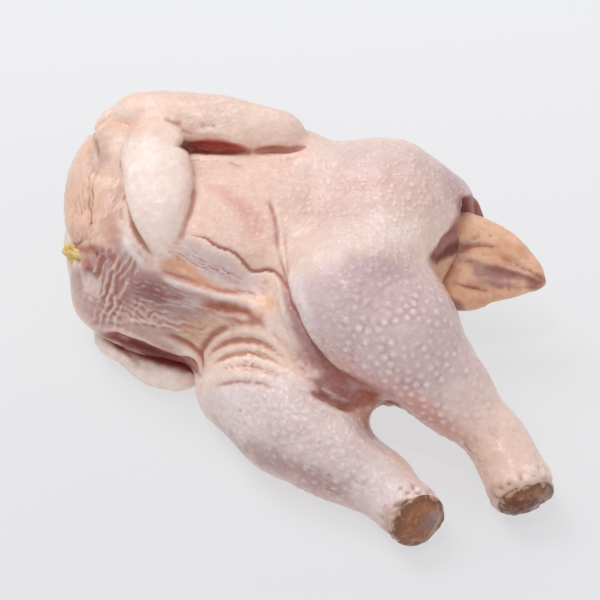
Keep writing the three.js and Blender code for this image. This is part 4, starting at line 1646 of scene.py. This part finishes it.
NECK = NeckSkin(
    fold=Fold(
        "neck_skin",
        path=((-78, 40, 70), (-85, 14, 79), (-88.5, -5, 74.5), (-89.5, -19, 67), (-91, -28.5, 59)),
        wide=(11, 18, 20.5, 19.5, 16.5),
        thick=(7, 11.5, 11.5, 9.8, 7.2),
        face=(-0.6, -0.5, 0.6),
        blunt=10,
    ),
    finish=Finish.SKIN,
    tones=Tones(Colour.SAND, Colour.SIENNA, Colour.CREAM),
    fineness=0.65,
    evening=4,
    lumps=(Lump(0.9, 11, 51), Lump(0.35, 4, 52)),
    strokes=(
        Stroke("neck_fold", CREASE, ((91, 180), (90, 212), (92, 240)), 2.0, 1.0, Colour.SALMON, 0.3),
        Stroke("neck_fold_high", CREASE, ((94, 126), (97, 148), (103, 172)), 1.4, 0.9, Colour.TAUPE, 0.4),
        Stroke("neck_fold_left", CREASE, ((76, 190), (74, 215), (77, 242)), 2.0, 0.5, Colour.AMBER, 0.2),
        Stroke("neck_fold_right", RIDGE, ((106, 190), (108, 214), (112, 236)), 1.6, 0.6, Colour.SAND, 0.3),
    ),
    patches=(
        Patch("neck_peach", Colour.PEACH, (82, 208), (14, 30, 34), 0.6),
        Patch("neck_brown", Colour.TAUPE, (100, 150), (6, 14, 16), 0.45),
        Patch("neck_low", Colour.ROSE, (84, 240), (14, 6, 22), 0.6),
        # The raw cut edge, darkened partly by painted shade.
        Patch("neck_cut_and_shadow", Colour.SIENNA, (86, 250), (11, 2.6, 16), 0.7),
        # The cut edge, partly its raw colour, partly painted shade.
        Area("neck_edge", Colour.HONEY, ((58, 243), (106, 243), (106, 252), (58, 252)), 0.7, 2.5, True),
        Patch("neck_top", Colour.CREAM, (104, 118), (14, 12, 20), 0.7),
    ),
    dots=0.6,
    pleats=(Wrinkles("neck_pleats", (90, 205), (22, 34, 34), 0, 84, 2.6, 0.4, 53),),
)

NECK_FAT = Flap(
    fold=Fold(
        "neck_fat",
        path=((-105.5, -19.5, 52.5), (-98.5, -25.5, 54.5), (-91.5, -30.5, 56.5)),
        wide=(2.8, 4.8, 4.2),
        thick=(3, 4, 3.6),
        face=(-0.6, -0.5, 0.6),
        blunt=4,
    ),
    finish=Finish.FAT,
    tones=Tones(Colour.FAT, Colour.HONEY, Colour.PALE_FAT, drift=((Colour.PALE_FAT, 4.0, 0.5),)),
    fineness=0.5,
    evening=2,
    lumps=(Lump(1.3, 3.6, 35), Lump(0.6, 1.6, 36)),
)

# The red-brown skin that joins the rump to the tail behind the vent.
VENT_SKIN = Flap(
    fold=Fold(
        "vent_skin",
        path=((70, -1, 67), (75.5, -3, 59), (78, -4, 49)),
        wide=(5, 6.5, 6.5),
        thick=(2.4, 2.6, 2.4),
        face=(0.1, -0.7, 0.7),
    ),
    finish=Finish.FLAP,
    tones=Tones(Colour.BERRY, Colour.LIVER, Colour.ROSE, 0.6, 0.5, ((Colour.SIENNA, 5.0, 0.6),)),
    fineness=0.5,
    evening=3,
    lumps=(Lump(0.6, 5, 47), Lump(0.25, 2, 48)),
    sinks_body=False,
)


def right_wing_flap(fold: Fold, seed: int, lip: tuple[Place, ...]) -> Flap:
    """Describe one of the two flaps of the right wing that stick out under the breast.

    Args:
        fold: The flap's fold.
        seed: Picks its unevenness.
        lip: The course of its thin outer edge.

    Returns:
        The flap.
    """
    return Flap(
        fold=fold,
        finish=Finish.FLAP,
        # The flaps are kept milk-pale partly as painted light, for they lie in shade.
        tones=Tones(Colour.MILK, Colour.BLUSH, Colour.MILK, 0.15),
        fineness=0.55,
        evening=4,
        lumps=(Lump(0.8, 8, seed), Lump(0.25, 3, seed + 1)),
        strokes=(
            Stroke("wing_lip", RIDGE, lip, 1.4, 0.5, Colour.MILK, 0.4),
            Stroke("between_the_flaps", CREASE, ((114, 340), (123, 347), (130, 354), (137, 362), (141, 372)),
                   1.5, 1.5, Colour.TAUPE, 0.6),
        ),
        patches=(
            Area("wing_red", Colour.RAW_MEAT, ((94, 328), (130, 334), (165, 346), (198, 360), (205, 382),
                                               (190, 374), (165, 368), (140, 359), (113, 347)),
                 0.95, 4, True),
            Patch("wing_peach", Colour.MILK, (150, 372), (24, 6, 18), 0.5, -20),
        ),
    )


RIGHT_FOREARM = right_wing_flap(
    Fold(
        "right_forearm",
        path=((-86, -27, 9), (-66, -44.5, 9), (-41.5, -56, 9)),
        wide=(7, 12.5, 15, 15.5, 13.5),
        thick=(5, 6.8, 7.2, 7.2, 6.6),
        face=(0.0, 0.0, 1.0),
        blunt=4,
    ),
    seed=61,
    lip=((124, 352), (146, 372), (172, 389), (196, 390)),
)
RIGHT_HAND = right_wing_flap(
    Fold(
        "right_wing_tip",
        path=((-93.5, -30, 10), (-82, -40, 12), (-68, -50.5, 10.5)),
        wide=(4, 7.4, 8.6, 7.8, 4.5),
        thick=(4, 5.2, 5.4, 4.6, 3.4),
        face=(0.0, 0.0, 1.0),
        blunt=3,
    ),
    seed=65,
    lip=((100, 340), (116, 352), (136, 366)),
)

# The flap of belly skin between the legs is dark where meat shows through it.
BELLY_SKIN = Flap(
    fold=Fold(
        "belly_flap",
        path=((3, -75, 46.5), (20, -87, 41.5), (35, -95, 34)),
        wide=(9.5, 10.5, 9.5, 7.5, 4.5),
        thick=(7.2, 6.2, 5.4, 4.4, 3.4),
        face=(0.0, -1.0, 1.0),
        blunt=3,
    ),
    finish=Finish.FLAP,
    tones=Tones(Colour.BERRY, Colour.LIVER, Colour.ROSE, 0.6, 0.6,
                ((Colour.TAUPE, 5.0, 0.5), (Colour.SIENNA, 7.0, 0.5))),
    fineness=0.55,
    evening=3,
    lumps=(Lump(0.9, 6, 45), Lump(0.3, 2.2, 46)),
    strokes=(
        # Partly raw meat, partly painted shade in the split.
        Stroke("flap_split", CREASE, ((338, 384), (341, 390), (345, 397)), 1.1, 1.0, Colour.RED_MEAT_IN_SHADE, 0.8),
        Stroke("flap_rim", RIDGE, ((330, 394), (342, 403), (358, 406), (376, 399)), 1.1, 0.6,
               Colour.ROSE, 0.5),
    ),
)

FLAPS = (TAIL, NECK, NECK_FAT, VENT_SKIN, RIGHT_FOREARM, RIGHT_HAND, BELLY_SKIN)


@dataclass(frozen=True)
class Lamp:
    """A square area light that faces the bird, with its place and size in metres and its power."""

    name: str
    place: Place
    size: float
    power: float
    aim: Place = (0, 0.02, 0.04)

    def make(self) -> None:
        """Add the lamp."""
        data = bpy.data.lights.new(self.name, "AREA")
        data.size = self.size
        data.energy = self.power
        lamp = bpy.data.objects.new(self.name, data)
        bpy.context.scene.collection.objects.link(lamp)
        lamp.location = self.place
        away = Vector(self.aim) - Vector(self.place)
        lamp.rotation_euler = away.to_track_quat("-Z", "Y").to_euler()


@dataclass(frozen=True)
class Studio:
    """The photograph's pale sweep and its soft light, strongest from above and behind on the left."""

    size: float = 6.0
    drop: float = 0.0002
    world: float = 0.62
    near: float = -0.16
    far: float = 0.26
    glow: float = 0.74
    lamps: tuple[Lamp, ...] = (
        Lamp("key", (-0.8, 0.75, 1.7), 1.0, 17.0),
        Lamp("glint", (-0.35, -0.5, 1.9), 0.22, 5.0),
        Lamp("fill", (0.9, -1.2, 1.2), 1.6, 5.0),
        Lamp("rim", (0.5, 1.4, 0.9), 0.8, 2.0),
    )

    def make(self) -> None:
        """Make the floor, the lights and the world."""
        scene = bpy.context.scene
        scene.view_settings.view_transform = "Standard"
        scene.view_settings.look = "None"
        world = bpy.data.worlds.new("pale_room")
        world.use_nodes = True
        world.node_tree.nodes.clear()
        sky = add_node(world.node_tree, "ShaderNodeBackground", Color=rgba(Colour.STAGE), Strength=self.world)
        add_node(world.node_tree, "ShaderNodeOutputWorld", Surface=sky.outputs[0])
        scene.world = world
        shape = bmesh.new()
        bmesh.ops.create_grid(shape, x_segments=1, y_segments=1, size=self.size / 2)
        floor = bare_object("floor", shape)
        floor.location.z = -self.drop
        floor.data.materials.append(self.sweep())
        for lamp in self.lamps:
            lamp.make()

    def sweep(self) -> bpy.types.Material:
        """Make the paper sweep: nearly white, with faint shadows, and glowing greyer towards the viewer as a
        painted falloff of light.
        """
        material = bpy.data.materials.new("pale_sweep")
        material.use_nodes = True
        tree = material.node_tree
        tree.nodes.clear()
        place = add_node(tree, "ShaderNodeTexCoord").outputs["Object"]
        depth = add_node(tree, "ShaderNodeSeparateXYZ", _0=place).outputs["Y"]
        share = add_node(tree, "ShaderNodeMapRange", Value=depth, From_Min=self.near,
                         From_Max=self.far).outputs["Result"]
        # Painted falloff of light: the glow greys towards the viewer.
        tone = add_node(tree, "ShaderNodeMix", {"data_type": "RGBA"}, _0=share, _6=Shade.SWEEP_NEAR.value,
                        _7=Shade.SWEEP_FAR.value).outputs[2]
        glow = add_node(tree, "ShaderNodeEmission", Color=tone, Strength=self.glow)
        matt = add_node(tree, "ShaderNodeBsdfDiffuse", Color=Shade.SWEEP_SHADE.value)
        both = add_node(tree, "ShaderNodeAddShader", _0=glow.outputs[0], _1=matt.outputs[0])
        add_node(tree, "ShaderNodeOutputMaterial", Surface=both.outputs[0])
        return material


def main() -> None:
    """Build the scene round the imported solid."""
    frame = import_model()
    materials = {finish: finish.value.make() for finish in Finish}
    Body().make(frame["nodes"][SOLID], materials[Finish.SKIN])
    for flap in FLAPS:
        flap.make(materials)
    for hock in CUT_HOCKS:
        hock.make(materials[Finish.CUT])
    Studio().make()
    VIEW.make()


if __name__ == "__main__":
    logging.basicConfig(level=logging.INFO, format="%(name)s: %(message)s")
    main()
